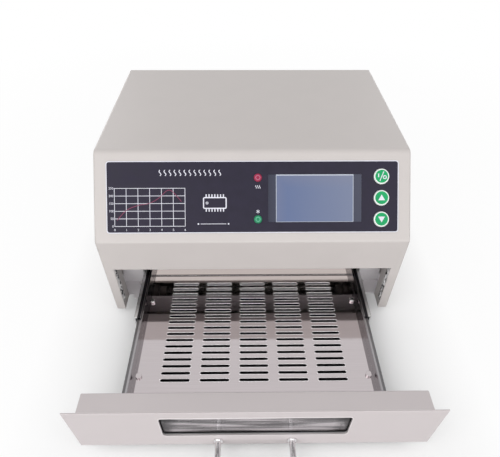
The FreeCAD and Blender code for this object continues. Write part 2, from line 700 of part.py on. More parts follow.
def drawer_handle():
    """Bow handle bent from round bar, with a collar where each leg meets the panel."""
    bar_d = PANEL_D - HANDLE_REACH + HANDLE_ROD_R
    bend = HANDLE_BEND
    inset = bend * (1 - math.sqrt(0.5))
    points = {
        "root": Vector(-HANDLE_HALF_SPAN, FRONT_Y + PANEL_D, HANDLE_Z),
        "leg": Vector(-HANDLE_HALF_SPAN, FRONT_Y + bar_d + bend, HANDLE_Z),
        "knee": Vector(-HANDLE_HALF_SPAN + inset, FRONT_Y + bar_d + inset, HANDLE_Z),
        "bar": Vector(-HANDLE_HALF_SPAN + bend, FRONT_Y + bar_d, HANDLE_Z),
    }
    far = {name: Vector(-point.x, point.y, point.z) for name, point in points.items()}
    edges = [
        Part.LineSegment(points["root"], points["leg"]),
        Part.Arc(points["leg"], points["knee"], points["bar"]),
        Part.LineSegment(points["bar"], far["bar"]),
        Part.Arc(far["bar"], far["knee"], far["leg"]),
        Part.LineSegment(far["leg"], far["root"]),
    ]
    path = Part.Wire([edge.toShape() for edge in edges])
    section = Part.Wire([Part.Circle(points["root"], Y_AXIS, HANDLE_ROD_R).toShape()])
    bow = path.makePipeShell([section], True, False)
    collars = [rod_y(PANEL_D - HANDLE_COLLAR, PANEL_D, x, HANDLE_Z, HANDLE_COLLAR_R) for x in handle_legs()]
    thread_d0 = PANEL_D - HANDLE_THREAD - CLOSE_FIT
    thread_r = HANDLE_SCREW_R + CLOSE_FIT
    threads = [rod_y(thread_d0, PANEL_D + CUT, x, HANDLE_Z, thread_r) for x in handle_legs()]
    return joined([bow] + collars).cut(threads)


def handle_screw(x):
    """Screw from inside the drawer front into a leg of the handle."""
    head = rod_y(PANEL_BACK_D, PANEL_BACK_D + HANDLE_SCREW_HEAD, x, HANDLE_Z, HANDLE_SCREW_HEAD_R)
    shank = rod_y(PANEL_D - HANDLE_THREAD, PANEL_BACK_D + CUT, x, HANDLE_Z, HANDLE_SCREW_R)
    return joined([head, shank])


def drawer_front_screws():
    """Screws of the handle and bolts of the window frame."""
    handle = [handle_screw(x) for x in handle_legs()]
    return group(handle + [window_frame_bolt(x, z) for x, z in frame_screw_places()])


def tray_tabs():
    """Sideways place of each screw between tray and drawer box."""
    return (-TRAY_TAB_SCREW_X, TRAY_TAB_SCREW_X)


def tray_slots():
    """Air slots of the tray in rows and columns."""
    cutters = []
    for row in range(SLOT_ROWS):
        for column in range(SLOT_COLUMNS):
            x = (column - (SLOT_COLUMNS - 1) / 2) * SLOT_COLUMN_PITCH
            d = SLOT_FIRST_D + row * SLOT_ROW_PITCH
            centre = Vector(x, FRONT_Y + d, TRAY_FLOOR_Z)
            cutters.append(slot(centre, X_AXIS, Z_AXIS, SLOT_LENGTH, SLOT_WIDTH, VENT_CUT))
    return cutters


def drawer_tray():
    """Slotted pan with upturned sides and back and two fixing tabs at the front."""
    d0, d1, z0 = TRAY_FRONT_D, TRAY_REAR_D, TRAY_UNDER_Z
    floor = block(-TRAY_HALF_W, TRAY_HALF_W, d0, d1, z0, TRAY_FLOOR_Z)
    side = block(TRAY_HALF_W - TRAY_SHEET, TRAY_HALF_W, d0, d1, z0, TRAY_SIDE_Z)
    rear = block(-TRAY_HALF_W, TRAY_HALF_W, d1 - TRAY_SHEET, d1, z0, TRAY_REAR_Z)
    tab = block(TRAY_TAB_X, TRAY_HALF_W, d0, d0 + TRAY_SHEET, z0, TRAY_SIDE_Z)
    pan = joined([floor, side, mirrored(side), rear, tab, mirrored(tab)])
    floor_holes = [
        rod_z(z0 - CUT, TRAY_FLOOR_Z + CUT, x, d, SCREW_HOLE_R)
        for x in (-TRAY_SCREW_X, TRAY_SCREW_X)
        for d in TRAY_SCREW_D
    ]
    tab_d1 = d0 + TRAY_SHEET + CUT
    tab_holes = [rod_y(d0 - CUT, tab_d1, x, TRAY_TAB_SCREW_Z, SCREW_HOLE_R) for x in tray_tabs()]
    return pan.cut(tray_slots() + floor_holes + tab_holes)


def tray_screw(x, d):
    """Screw down through the tray into a slide."""
    shank = rod_z(TRAY_UNDER_Z - SLIDE_SHEET - CUT, TRAY_FLOOR_Z + CUT, x, d, SCREW_R)
    return joined([rod_z(TRAY_FLOOR_Z, TRAY_FLOOR_Z + TRAY_SCREW_HEAD, x, d, SCREW_HEAD_R), shank])


def tray_tab_screw(x):
    """Screw through a front tab of the tray into the drawer box."""
    head_d = TRAY_FRONT_D + TRAY_SHEET
    head = rod_y(head_d, head_d + TRAY_SCREW_HEAD, x, TRAY_TAB_SCREW_Z, SCREW_HEAD_R)
    shank_d0 = TRAY_FRONT_D - TRAY_TAB_SCREW_LENGTH
    return joined([head, rod_y(shank_d0, head_d + CUT, x, TRAY_TAB_SCREW_Z, SCREW_R)])


def tray_screws():
    """All the tray's screws."""
    floor = [tray_screw(x, d) for x in (-TRAY_SCREW_X, TRAY_SCREW_X) for d in TRAY_SCREW_D]
    return group(floor + [tray_tab_screw(x) for x in tray_tabs()])


# Slides. Each has three channels, one inside the other.

SLIDE_FIXED_D = (43.5, 195.5)
SLIDE_MIDDLE_L = 146.6
SLIDE_MIDDLE_D0 = SLIDE_FIXED_D[0] - DRAWER_TRAVEL / 2
SLIDE_MIDDLE_D = (SLIDE_MIDDLE_D0, SLIDE_MIDDLE_D0 + SLIDE_MIDDLE_L)
SLIDE_MOVING_D = (-132.0, TRAY_REAR_D)
SLIDE_SCREW_D = (62.0, 178.0)
SLIDE_SCREW_HEAD = 1.4
SLIDE_SCREW_TAIL = 4.0


def slide_screw_places():
    """Where a fixed channel is screwed to the chamber wall, as depth and height."""
    return [(d, (SLIDE_Z0 + SLIDE_Z1) / 2) for d in SLIDE_SCREW_D]


def channel(web_x, lip_x, z0, z1, reach):
    """Folded channel: an upright web with a lip at the top and bottom."""
    inner_x = web_x - SLIDE_SHEET if lip_x < web_x else web_x + SLIDE_SHEET
    points = [
        (web_x, z0),
        (web_x, z1),
        (lip_x, z1),
        (lip_x, z1 - SLIDE_SHEET),
        (inner_x, z1 - SLIDE_SHEET),
        (inner_x, z0 + SLIDE_SHEET),
        (lip_x, z0 + SLIDE_SHEET),
        (lip_x, z0),
    ]
    return prism_y(points, *reach)


def slide_fixed():
    """Right-hand channel on the chamber wall."""
    rail = channel(SLIDE_OUTER_X, SLIDE_LIP_X, SLIDE_Z0, SLIDE_Z1, SLIDE_FIXED_D)
    x0, x1 = SLIDE_OUTER_X - SLIDE_SHEET - CUT, SLIDE_OUTER_X + CUT
    return rail.cut([rod_x(x0, x1, d, z, SCREW_HOLE_R) for d, z in slide_screw_places()])


def slide_middle():
    """Right-hand channel that runs between the other two."""
    z0, z1 = SLIDE_Z0 + SLIDE_STEP, SLIDE_Z1 - SLIDE_STEP
    return channel(SLIDE_MIDDLE_WEB_X, SLIDE_MIDDLE_LIP_X, z0, z1, SLIDE_MIDDLE_D)


def slide_moving():
    """Right-hand channel on the tray, with a foot under the tray's floor."""
    z0, z1 = SLIDE_Z0 + 2 * SLIDE_STEP, SLIDE_Z1 - 2 * SLIDE_STEP
    rail = channel(TRAY_HALF_W, SLIDE_INNER_LIP_X, z0, z1, SLIDE_MOVING_D)
    foot_z0 = TRAY_UNDER_Z - SLIDE_SHEET
    foot = block(TRAY_HALF_W - SLIDE_FOOT, TRAY_HALF_W + SLIDE_SHEET, *SLIDE_MOVING_D, foot_z0, TRAY_UNDER_Z)
    z0, z1 = foot_z0 - CUT, TRAY_UNDER_Z + CUT
    holes = [rod_z(z0, z1, TRAY_SCREW_X, d, SCREW_HOLE_R) for d in TRAY_SCREW_D]
    return joined([rail, foot]).cut(holes)


def slide_screw(d, z):
    """Screw that holds a fixed channel to the right-hand chamber wall."""
    head_x = SLIDE_OUTER_X - SLIDE_SHEET
    head = rod_x(head_x - SLIDE_SCREW_HEAD, head_x, d, z, SCREW_HEAD_R)
    return joined([head, rod_x(head_x - CUT, WALL_OUTER_X + SLIDE_SCREW_TAIL, d, z, SCREW_R)])


def slide_screws():
    """All the slides' screws."""
    right = [slide_screw(d, z) for d, z in slide_screw_places()]
    return group(right + [mirrored(screw) for screw in right])


# Control face

WINDOW_N0 = -1.5
WINDOW_N1 = 0.3
MODULE_N0 = -9.5
BOARD = 1.6
BOARD_N0 = MODULE_N0 - BOARD
BOARD_X0 = -80.0
BOARD_X1 = 140.0
BOARD_S0 = 11.0
BOARD_S1 = 77.0
MODULE_HALF_W = 47.0
MODULE_HALF_H = 29.5
STANDOFF_X = (-76.0, -2.0, 112.0)
STANDOFF_S = (14.5, 73.0)
STANDOFF_R = 2.4
DISPLAY_GAP = 0.1
KEY_TOP_N = 1.6
KEY_RIM = 0.7
KEY_FLANGE_N = -1.5
KEY_FLANGE = 1.3
KEY_FLANGE_LAP = 1.5
KEY_STEM_N = -5.0
KEY_STEM_R = 2.5
SWITCH_BODY_HALF = 3.0
SWITCH_BODY_N = -6.2
SWITCH_BUTTON_R = 1.7
SWITCH_BUTTON_GAP = 0.2
LAMP_TOP_N = 1.5
LAMP_RIM = 1.0
LAMP_FLANGE = 1.2
LAMP_FLANGE_LAP = 1.0
LAMP_PIPE_R = 2.5
RIBBON_X0 = -76.0
RIBBON_X1 = -60.0
RIBBON = 1.0
RIBBON_S = 40.0
RIBBON_LIFT = 2.0
RIBBON_BENDS = (4.0, 14.0)
HEADER = 6.0
HEADER_HALF = 4.0
HEADER_LAP = 2.0


def control_overlay():
    """Printed sheet stuck on the control face."""
    sheet = face_block(-OVERLAY_HALF_W, OVERLAY_HALF_W, OVERLAY_S0, OVERLAY_S1, 0, OVERLAY)
    sheet = rounded(sheet, Z_AXIS, OVERLAY_CORNER)
    return on_face(sheet.cut(control_cutters()))


def display_window():
    """Clear window over the display."""
    pane = face_block(
        DISPLAY_X - DISPLAY_W / 2 + DISPLAY_GAP,
        DISPLAY_X + DISPLAY_W / 2 - DISPLAY_GAP,
        DISPLAY_S - DISPLAY_H / 2 + DISPLAY_GAP,
        DISPLAY_S + DISPLAY_H / 2 - DISPLAY_GAP,
        WINDOW_N0,
        WINDOW_N1,
    )
    return on_face(rounded(pane, Z_AXIS, DISPLAY_CORNER))


def display_module():
    """Liquid-crystal display in its metal bezel, on the control board."""
    module = face_block(
        DISPLAY_X - MODULE_HALF_W,
        DISPLAY_X + MODULE_HALF_W,
        DISPLAY_S - MODULE_HALF_H,
        DISPLAY_S + MODULE_HALF_H,
        MODULE_N0,
        WINDOW_N0,
    )
    return on_face(rounded(module, Z_AXIS, DISPLAY_CORNER))


def control_board():
    """Circuit board behind the control face, with the ribbon's header on its back."""
    board = face_block(BOARD_X0, BOARD_X1, BOARD_S0, BOARD_S1, BOARD_N0, MODULE_N0)
    x0, x1 = RIBBON_X0 - HEADER_LAP, RIBBON_X1 + HEADER_LAP
    s0, s1 = RIBBON_S - HEADER_HALF, RIBBON_S + HEADER_HALF
    header = face_block(x0, x1, s0, s1, BOARD_N0 - HEADER, BOARD_N0)
    return on_face(joined([board, header]))


def control_standoffs():
    """Studs on the back of the control face that carry its board."""
    places = [(x, s) for x in STANDOFF_X for s in STANDOFF_S]
    return [on_face(face_rod(x, s, MODULE_N0, -SHEET, STANDOFF_R)) for x, s in places]


def rounded_cap(cylinder, top, radius):
    """Upright cylinder with its upper rim rounded."""
    rim = [edge for edge in cylinder.Edges if abs(edge.CenterOfMass.z - top) < NEAR]
    return cylinder.makeFillet(radius, rim)


def control_key(s):
    """Round push key with a flange behind the sheet and a stem over its switch."""
    flange_n0 = KEY_FLANGE_N - KEY_FLANGE
    cap = rounded_cap(face_rod(KEY_X, s, flange_n0, KEY_TOP_N, KEY_R), KEY_TOP_N, KEY_RIM)
    flange = face_rod(KEY_X, s, flange_n0, KEY_FLANGE_N, KEY_R + KEY_FLANGE_LAP)
    stem = face_rod(KEY_X, s, KEY_STEM_N, KEY_FLANGE_N, KEY_STEM_R)
    return on_face(joined([cap, flange, stem]))


def key_switch(s):
    """Tactile switch on the board under a key."""
    half = SWITCH_BODY_HALF
    body = face_block(KEY_X - half, KEY_X + half, s - half, s + half, MODULE_N0, SWITCH_BODY_N)
    button_n1 = KEY_STEM_N - KEY_TRAVEL - SWITCH_BUTTON_GAP
    return on_face(joined([body, face_rod(KEY_X, s, MODULE_N0, button_n1, SWITCH_BUTTON_R)]))


def lamp_lens(s):
    """Indicator lens with a flange behind the sheet and a light pipe to the board."""
    flange_n0 = -SHEET - LAMP_FLANGE
    lens = rounded_cap(face_rod(LAMP_X, s, flange_n0, LAMP_TOP_N, LAMP_R), LAMP_TOP_N, LAMP_RIM)
    flange = face_rod(LAMP_X, s, flange_n0, -SHEET, LAMP_R + LAMP_FLANGE_LAP)
    pipe = face_rod(LAMP_X, s, MODULE_N0, flange_n0, LAMP_PIPE_R)
    return on_face(joined([lens, flange, pipe]))


def control_ribbon():
    """Flat cable from the control board over the blanket and down to the power board."""
    start = FACE.multVec(Vector(RIBBON_X0, RIBBON_S, BOARD_N0 - HEADER))
    inwards = FACE.Rotation.multVec(Vector(0, 0, -1))
    level_z = CHAMBER_ROOF_Z + CHAMBER_SHEET + BLANKET + RIBBON_LIFT
    corner = start + inwards * ((start.z - level_z) / -inwards.z)
    drop = Vector(RIBBON_X0, FRONT_Y + RIBBON_D, level_z)
    end = Vector(RIBBON_X0, FRONT_Y + RIBBON_D, POWER_BOARD_Z + BOARD + HEADER)
    knees = ((corner, inwards, Y_AXIS), (drop, Y_AXIS, Z_AXIS * -1))
    edges = []
    point = start
    for (knee, before, after), radius in zip(knees, RIBBON_BENDS):
        turn = math.acos(before.dot(after))
        setback = radius * math.tan(turn / 2)
        arc_in = knee - before * setback
        arc_out = knee + after * setback
        towards_centre = (after - before).normalize()
        bulge = radius / math.cos(turn / 2) - radius
        edges.append(Part.LineSegment(point, arc_in))
        edges.append(Part.Arc(arc_in, knee + towards_centre * bulge, arc_out))
        point = arc_out
    edges.append(Part.LineSegment(point, end))
    path = Part.Wire([edge.toShape() for edge in edges])
    strip = path.makeOffset2D(RIBBON, 0, True, True)
    return strip.extrude(X_AXIS * (RIBBON_X1 - RIBBON_X0))


# Power electronics and fan

POWER_BOARD_Z = 16.0
POWER_BOARD_X = (-144.0, -56.0)
POWER_BOARD_D = (202.0, 250.0)
RIBBON_D = 214.0
PILLAR_INSET = 4.0
PILLAR_R = 3.0
CORE_X = (-141.0, -105.0)
CORE_D = (216.0, 234.0)
CORE_HEIGHT = 31.0
BOBBIN_INSET_X = 7.0
BOBBIN_OVERHANG_D = 7.0
BOBBIN_INSET_Z = 6.0
SINK_X = (-99.0, -82.0)
SINK_D0 = 208.0
SINK_HEIGHT = 36.0
SINK_BACK = 2.0
SINK_FINS = 7
SINK_FIN = 1.6
SINK_FIN_PITCH = 6.4
FAN_D0 = REAR_D - SHEET - FAN_DEPTH
FAN_CORNER = 4.0
FAN_OPENING_R = 38.0
FAN_HOLE_R = 2.0
FAN_BORE_R = 38.5
FAN_HUB_R = 17.0
FAN_HUB_WALL = 2.0
FAN_HUB_D = (FAN_D0 + 4, FAN_D0 + 22)
FAN_TIP_R = 37.2
FAN_SHAFT_R = 1.5
FAN_BASE = 3.0
FAN_STRUT_HALF = 2.0
FAN_BUSH = 14.0
FAN_BUSH_R = 4.0
FAN_BLADE_CHORD = 24.0
FAN_BLADE = 1.8
FAN_BLADE_PITCH = 38.0
FAN_BLADE_ROOT = 1.5
FAN_SCREW_R = 1.8
FAN_SCREW_HEAD = 2.0
FAN_SCREW_HEAD_R = 3.6
GUARD_WIRE_R = 0.9
GUARD_RINGS = (9.0, 17.5, 26.0, 34.5)
GUARD_SPOKE_R0 = 7.0
GUARD_EYE_R = 3.2
GUARD_RING_LIFT = 1.26


def fan_corners():
    """Fan screw centres as x and height."""
    half = FAN_HOLE_PITCH / 2
    return [(x, FAN_Z + z) for x in (-half, half) for z in (-half, half)]


def power_board():
    """Mains circuit board in the back of the casing, with the ribbon's header."""
    board = block(*POWER_BOARD_X, *POWER_BOARD_D, POWER_BOARD_Z, POWER_BOARD_Z + BOARD)
    header_z1 = POWER_BOARD_Z + BOARD + HEADER
    x0, x1 = RIBBON_X0 - HEADER_LAP, RIBBON_X1 + HEADER_LAP
    d0, d1 = RIBBON_D - HEADER_HALF, RIBBON_D + HEADER_HALF
    header = block(x0, x1, d0, d1, POWER_BOARD_Z, header_z1)
    return joined([board, header])


def power_standoffs():
    """Pillars between the base and the power board."""
    xs = (POWER_BOARD_X[0] + PILLAR_INSET, POWER_BOARD_X[1] - PILLAR_INSET)
    depths = (POWER_BOARD_D[0] + PILLAR_INSET, POWER_BOARD_D[1] - PILLAR_INSET)
    return [rod_z(BASE_TOP_Z, POWER_BOARD_Z, x, d, PILLAR_R) for x in xs for d in depths]


def transformer():
    """Small mains transformer: laminated core round a bobbin."""
    z0 = POWER_BOARD_Z + BOARD
    z1 = z0 + CORE_HEIGHT
    core = block(*CORE_X, *CORE_D, z0, z1)
    x0, x1 = CORE_X[0] + BOBBIN_INSET_X, CORE_X[1] - BOBBIN_INSET_X
    d0, d1 = CORE_D[0] - BOBBIN_OVERHANG_D, CORE_D[1] + BOBBIN_OVERHANG_D
    bobbin = block(x0, x1, d0, d1, z0 + BOBBIN_INSET_Z, z1 - BOBBIN_INSET_Z)
    return joined([core, bobbin])


def triac_heatsink():
    """Finned heat sink of the heater switch."""
    z0 = POWER_BOARD_Z + BOARD
    z1 = z0 + SINK_HEIGHT
    x0, x1 = SINK_X
    fin_depths = [SINK_D0 + SINK_FIN_PITCH * index for index in range(SINK_FINS)]
    back = block(x0, x0 + SINK_BACK, SINK_D0, fin_depths[-1] + SINK_FIN, z0, z1)
    return joined([back] + [block(x0, x1, d, d + SINK_FIN, z0, z1) for d in fin_depths])


def fan_frame():
    """Square fan frame with the motor base held by four struts."""
    half = FAN_SIZE / 2
    d1 = FAN_D0 + FAN_DEPTH
    frame = rounded(block(-half, half, FAN_D0, d1, FAN_Z - half, FAN_Z + half), Y_AXIS, FAN_CORNER)
    bore = rod_y(FAN_D0 - CUT, d1 + CUT, 0, FAN_Z, FAN_BORE_R)
    holes = [rod_y(FAN_D0 - CUT, d1 + CUT, x, z, FAN_HOLE_R) for x, z in fan_corners()]
    frame = frame.cut([bore] + holes)
    base_d1 = FAN_D0 + FAN_BASE
    reach = FAN_BORE_R + CUT
    width = FAN_STRUT_HALF
    upright = block(-width, width, FAN_D0, base_d1, FAN_Z - reach, FAN_Z + reach)
    level = block(-reach, reach, FAN_D0, base_d1, FAN_Z - width, FAN_Z + width)
    base = rod_y(FAN_D0, base_d1, 0, FAN_Z, FAN_HUB_R)
    bush = rod_y(FAN_D0, FAN_D0 + FAN_BUSH, 0, FAN_Z, FAN_BUSH_R)
    shaft_hole = rod_y(base_d1 - CUT, FAN_D0 + FAN_BUSH + CUT, 0, FAN_Z, FAN_SHAFT_R + CLOSE_FIT)
    return joined([frame, upright, level, base, bush]).cut(shaft_hole)


def fan_rotor():
    """Hub cup with its shaft and pitched blades."""
    d0, d1 = FAN_HUB_D
    hollow = rod_y(d0 - CUT, d1 - FAN_HUB_WALL, 0, FAN_Z, FAN_HUB_R - FAN_HUB_WALL)
    hub = rod_y(d0, d1, 0, FAN_Z, FAN_HUB_R).cut(hollow)
    shaft = rod_y(FAN_D0 + FAN_BASE, d1 - CUT, 0, FAN_Z, FAN_SHAFT_R)
    root_r = FAN_HUB_R - FAN_BLADE_ROOT
    swept = rod_y(d0, d1, 0, FAN_Z, FAN_TIP_R).cut(rod_y(d0 - CUT, d1 + CUT, 0, FAN_Z, root_r))
    centre = Vector(0, FRONT_Y + (d0 + d1) / 2, FAN_Z)
    corner = Vector(-FAN_BLADE_CHORD / 2, -FAN_BLADE / 2, 0)
    blades = []
    for index in range(FAN_BLADES):
        blade = Part.makeBox(FAN_BLADE_CHORD, FAN_BLADE, FAN_SIZE / 2, corner)
        blade.rotate(Vector(0, 0, 0), Z_AXIS, FAN_BLADE_PITCH)
        blade.rotate(Vector(0, 0, 0), Y_AXIS, 360.0 / FAN_BLADES * index)
        blade.translate(centre)
        blades.append(blade.common(swept))
    return joined([hub, shaft] + blades)


def fan_guard():
    """Wire rings on four radial wires, with an eye at each fan screw."""
    wire_y = FRONT_Y + REAR_D + GUARD_WIRE_R
    ring_y = wire_y + GUARD_RING_LIFT
    rings = [Part.makeTorus(r, GUARD_WIRE_R, Vector(0, ring_y, FAN_Z), Y_AXIS) for r in GUARD_RINGS]
    spokes = []
    for x, z in fan_corners():
        outwards = Vector(x, 0, z - FAN_Z)
        run = outwards.Length - GUARD_EYE_R - GUARD_SPOKE_R0
        outwards.normalize()
        start = Vector(0, wire_y, FAN_Z) + outwards * GUARD_SPOKE_R0
        spokes.append(Part.makeCylinder(GUARD_WIRE_R, run, start, outwards))
    eyes = [Part.makeTorus(GUARD_EYE_R, GUARD_WIRE_R, Vector(x, wire_y, z), Y_AXIS) for x, z in fan_corners()]
    return joined(rings + spokes + eyes)


def fan_screw(x, z):
    """Screw through the guard, the back panel and the fan."""
    head_d = REAR_D + 2 * GUARD_WIRE_R
    head = rod_y(head_d, head_d + FAN_SCREW_HEAD, x, z, FAN_SCREW_HEAD_R)
    return joined([head, rod_y(FAN_D0 - CUT, head_d + CUT, x, z, FAN_SCREW_R)])


# Mains inlet and switch

PANEL_GAP = 0.1
INLET_FLANGE = 2.5
INLET_FLANGE_HALF_W = 24.5
INLET_FLANGE_HALF_H = 11.5
INLET_FLANGE_CORNER = 7.0
INLET_HALF_W = 13.5
INLET_HALF_H = 9.8
INLET_BODY_D = REAR_D - 24.0
INLET_SCREW_X = 20.0
INLET_SCREW_HEAD = 1.6
INLET_SCREW_HEAD_R = 2.8
INLET_NUT = 2.4
SOCKET_DEPTH = 16.0
SOCKET_HALF_W = 12.2
SOCKET_HALF_H = 8.2
SOCKET_CORNER = 4.0
PIN_LENGTH = 10.0
PIN_TAIL = 7.0
PIN_HALF_W = 1.0
PIN_HALF_H = 2.0
PIN_OFFSETS = ((-7.0, -2.0), (0.0, 2.0), (7.0, -2.0))
SWITCH_HALF_W = 6.5
SWITCH_HALF_H = 9.5
SWITCH_DEPTH = 14.0
SWITCH_FLANGE = 2.0
SWITCH_FLANGE_LAP = 1.3
SWITCH_FLANGE_CORNER = 1.0
SWITCH_WALL = 1.1
SWITCH_POCKET = 8.0
SWITCH_TERMINAL_HALF_W = 2.4
SWITCH_TERMINAL = 0.8
SWITCH_TERMINAL_L = 8.0
SWITCH_TERMINAL_Z = (-5.4, 4.6)
ROCKER_HALF_W = 5.0
ROCKER_BASE_D = -3.0
ROCKER_BASE_Z = 5.0
ROCKER_VEE_D = 2.2
ROCKER_PIN_HALF_L = 6.0
ROCKER_PIN_R = 1.2


def rear_block(half_w, d0, d1, z, half_h):
    """Box on the upright line through the inlet and the switch."""
    return block(INLET_X - half_w, INLET_X + half_w, d0, d1, z - half_h, z + half_h)


def mains_inlet():
    """Three-pin appliance inlet with screw ears and solder tabs."""
    mouth_d = REAR_D + INLET_FLANGE
    flange = rear_block(INLET_FLANGE_HALF_W, REAR_D, mouth_d, INLET_Z, INLET_FLANGE_HALF_H)
    flange = rounded(flange, Y_AXIS, INLET_FLANGE_CORNER)
    body = rear_block(INLET_HALF_W, INLET_BODY_D, REAR_D + CUT, INLET_Z, INLET_HALF_H)
    half_w, half_h, corner = SOCKET_HALF_W, SOCKET_HALF_H, SOCKET_CORNER
    outline = [
        (INLET_X - half_w, INLET_Z - half_h),
        (INLET_X + half_w, INLET_Z - half_h),
        (INLET_X + half_w, INLET_Z + half_h - corner),
        (INLET_X + half_w - corner, INLET_Z + half_h),
        (INLET_X - half_w + corner, INLET_Z + half_h),
        (INLET_X - half_w, INLET_Z + half_h - corner),
    ]
    socket = prism_y(outline, mouth_d - SOCKET_DEPTH, mouth_d + CUT)
    ears = [INLET_X + side * INLET_SCREW_X for side in (-1, 1)]
    ear_holes = [rod_y(REAR_D - CUT, mouth_d + CUT, x, INLET_Z, SCREW_HOLE_R) for x in ears]
    shell = joined([flange, body]).cut([socket] + ear_holes)
    pins = []
    d0 = INLET_BODY_D - PIN_TAIL
    d1 = mouth_d - SOCKET_DEPTH + PIN_LENGTH
    for offset, height in PIN_OFFSETS:
        x, z = INLET_X + offset, INLET_Z + height
        pins.append(block(x - PIN_HALF_W, x + PIN_HALF_W, d0, d1, z - PIN_HALF_H, z + PIN_HALF_H))
    return joined([shell] + pins)


def inlet_screw(side):
    """Screw through an ear of the inlet, with its nut behind the panel."""
    x = INLET_X + side * INLET_SCREW_X
    head_d = REAR_D + INLET_FLANGE
    head = rod_y(head_d, head_d + INLET_SCREW_HEAD, x, INLET_Z, INLET_SCREW_HEAD_R)
    shank = rod_y(REAR_D - SCREW_LENGTH, head_d + CUT, x, INLET_Z, SCREW_R)
    nut = rod_y(REAR_D - SHEET - INLET_NUT, REAR_D - SHEET, x, INLET_Z, SCREW_HEAD_R)
    return joined([head, shank, nut])


def switch_housing():
    """Snap-in housing of the mains switch."""
    d0, d1 = REAR_D - SWITCH_DEPTH, REAR_D + SWITCH_FLANGE
    flange_half_w = SWITCH_HALF_W + SWITCH_FLANGE_LAP
    flange_half_h = SWITCH_HALF_H + SWITCH_FLANGE_LAP
    flange = rear_block(flange_half_w, REAR_D, d1, SWITCH_Z, flange_half_h)
    flange = rounded(flange, Y_AXIS, SWITCH_FLANGE_CORNER)
    body = rear_block(SWITCH_HALF_W, d0, REAR_D + CUT, SWITCH_Z, SWITCH_HALF_H)
    pocket_half_w = SWITCH_HALF_W - SWITCH_WALL
    pocket_half_h = SWITCH_HALF_H - SWITCH_WALL
    pocket = rear_block(pocket_half_w, REAR_D - SWITCH_POCKET, d1 + CUT, SWITCH_Z, pocket_half_h)
    pivot_half_l = ROCKER_PIN_HALF_L + CLOSE_FIT
    pivot_r = ROCKER_PIN_R + CLOSE_FIT
    pivot = rod_x(INLET_X - pivot_half_l, INLET_X + pivot_half_l, REAR_D + SWITCH_PIVOT, SWITCH_Z, pivot_r)
    tail_d = d0 - SWITCH_TERMINAL_L
    half = SWITCH_TERMINAL / 2
    terminals = [
        rear_block(SWITCH_TERMINAL_HALF_W, tail_d, d0 + CUT, SWITCH_Z + z, half) for z in SWITCH_TERMINAL_Z
    ]
    return joined([flange, body] + terminals).cut([pocket, pivot])


def switch_rocker():
    """Rocker with a shallow vee face, tipped to its off position."""
    tip_d, tip_z = SWITCH_TIP_D, SWITCH_TIP_Z
    base_d, base_z = ROCKER_BASE_D, ROCKER_BASE_Z
    profile = [(base_d, -base_z), (base_d, base_z), (tip_d, tip_z), (ROCKER_VEE_D, 0.0), (tip_d, -tip_z)]
    pivot_d = REAR_D + SWITCH_PIVOT
    points = [(pivot_d + d, SWITCH_Z + z) for d, z in profile]
    paddle = prism_x(points, INLET_X - ROCKER_HALF_W, INLET_X + ROCKER_HALF_W)
    pivot = rod_x(INLET_X - ROCKER_PIN_HALF_L, INLET_X + ROCKER_PIN_HALF_L, pivot_d, SWITCH_Z, ROCKER_PIN_R)
    rocker = joined([paddle, pivot])
    rocker.rotate(Vector(0, FRONT_Y + pivot_d, SWITCH_Z), X_AXIS, -SWITCH_TILT)
    return rocker


def all_parts():
    """Every piece of the oven by its name."""
    shell = hood_shell()
    right_side = side_panel(shell)
    right_wall = chamber_wall()
    right_bracket = tube_bracket()
    caps = [tube_end_cap(d) for d in tube_depths()]
    foil = foil_strip()
    parts = {
        "top_cover": top_cover(shell),
        "right_side_panel": right_side,
        "left_side_panel": mirrored(right_side),
        "base_plate": base_plate(),
        "rear_panel": rear_panel(),
        "rubber_feet": group([rubber_foot(x, d) for x, d in foot_places()]),
        "case_screws": case_screws(),
        "cheek_foil_strips": group([foil, mirrored(foil)]),
        "front_bulkhead": front_bulkhead(),
        "chamber_right_wall": right_wall,
        "chamber_left_wall": mirrored(right_wall),
        "chamber_rear_wall": chamber_rear_wall(),
        "chamber_roof": chamber_roof(),
        "chamber_floor": chamber_floor(),
        "insulation_blanket": insulation_blanket(),
        "heater_tubes": group([heater_tube(d) for d in tube_depths()]),
        "heater_coils": group([heater_coil(d) for d in tube_depths()]),
        "tube_end_caps": group(caps + [mirrored(cap) for cap in caps]),
        "right_tube_bracket": right_bracket,
        "left_tube_bracket": mirrored(right_bracket),
        "temperature_probes": group([probe(x) for x in (-PROBE_X, PROBE_X)]),
        "drawer_front_panel": drawer_front_panel(),
        "drawer_front_box": drawer_front_box(),
        "window_gasket": window_gasket(),
        "window_glass": window_glass(),
        "window_frame": window_frame(),
        "drawer_handle": drawer_handle(),
        "drawer_front_screws": drawer_front_screws(),
        "drawer_tray": drawer_tray(),
        "tray_screws": tray_screws(),
        "slide_screws": slide_screws(),
        "control_overlay": control_overlay(),
        "display_window": display_window(),
        "display_module": display_module(),
        "control_board": control_board(),
        "board_standoffs": group(control_standoffs() + power_standoffs()),
        "key_switches": group([key_switch(s) for s in KEY_S]),
        "control_ribbon": control_ribbon(),
        "power_board": power_board(),
        "transformer": transformer(),
        "triac_heatsink": triac_heatsink(),
        "fan_frame": fan_frame(),
        "fan_rotor": fan_rotor(),
        "fan_guard": fan_guard(),
        "rear_screws": rear_screws(),
        "mains_inlet": mains_inlet(),
        "switch_housing": switch_housing(),
        "switch_rocker": switch_rocker(),
    }
    for name, s in zip(("power_key", "up_key", "down_key"), KEY_S):
        parts[name] = control_key(s)
    for name, s in zip(("heat_lamp", "cool_lamp"), LAMP_S):
        parts[name] = lamp_lens(s)
    for name, rail in (("fixed", slide_fixed()), ("middle", slide_middle()), ("moving", slide_moving())):
        parts[f"right_slide_{name}"] = rail
        parts[f"left_slide_{name}"] = mirrored(rail)
    return parts


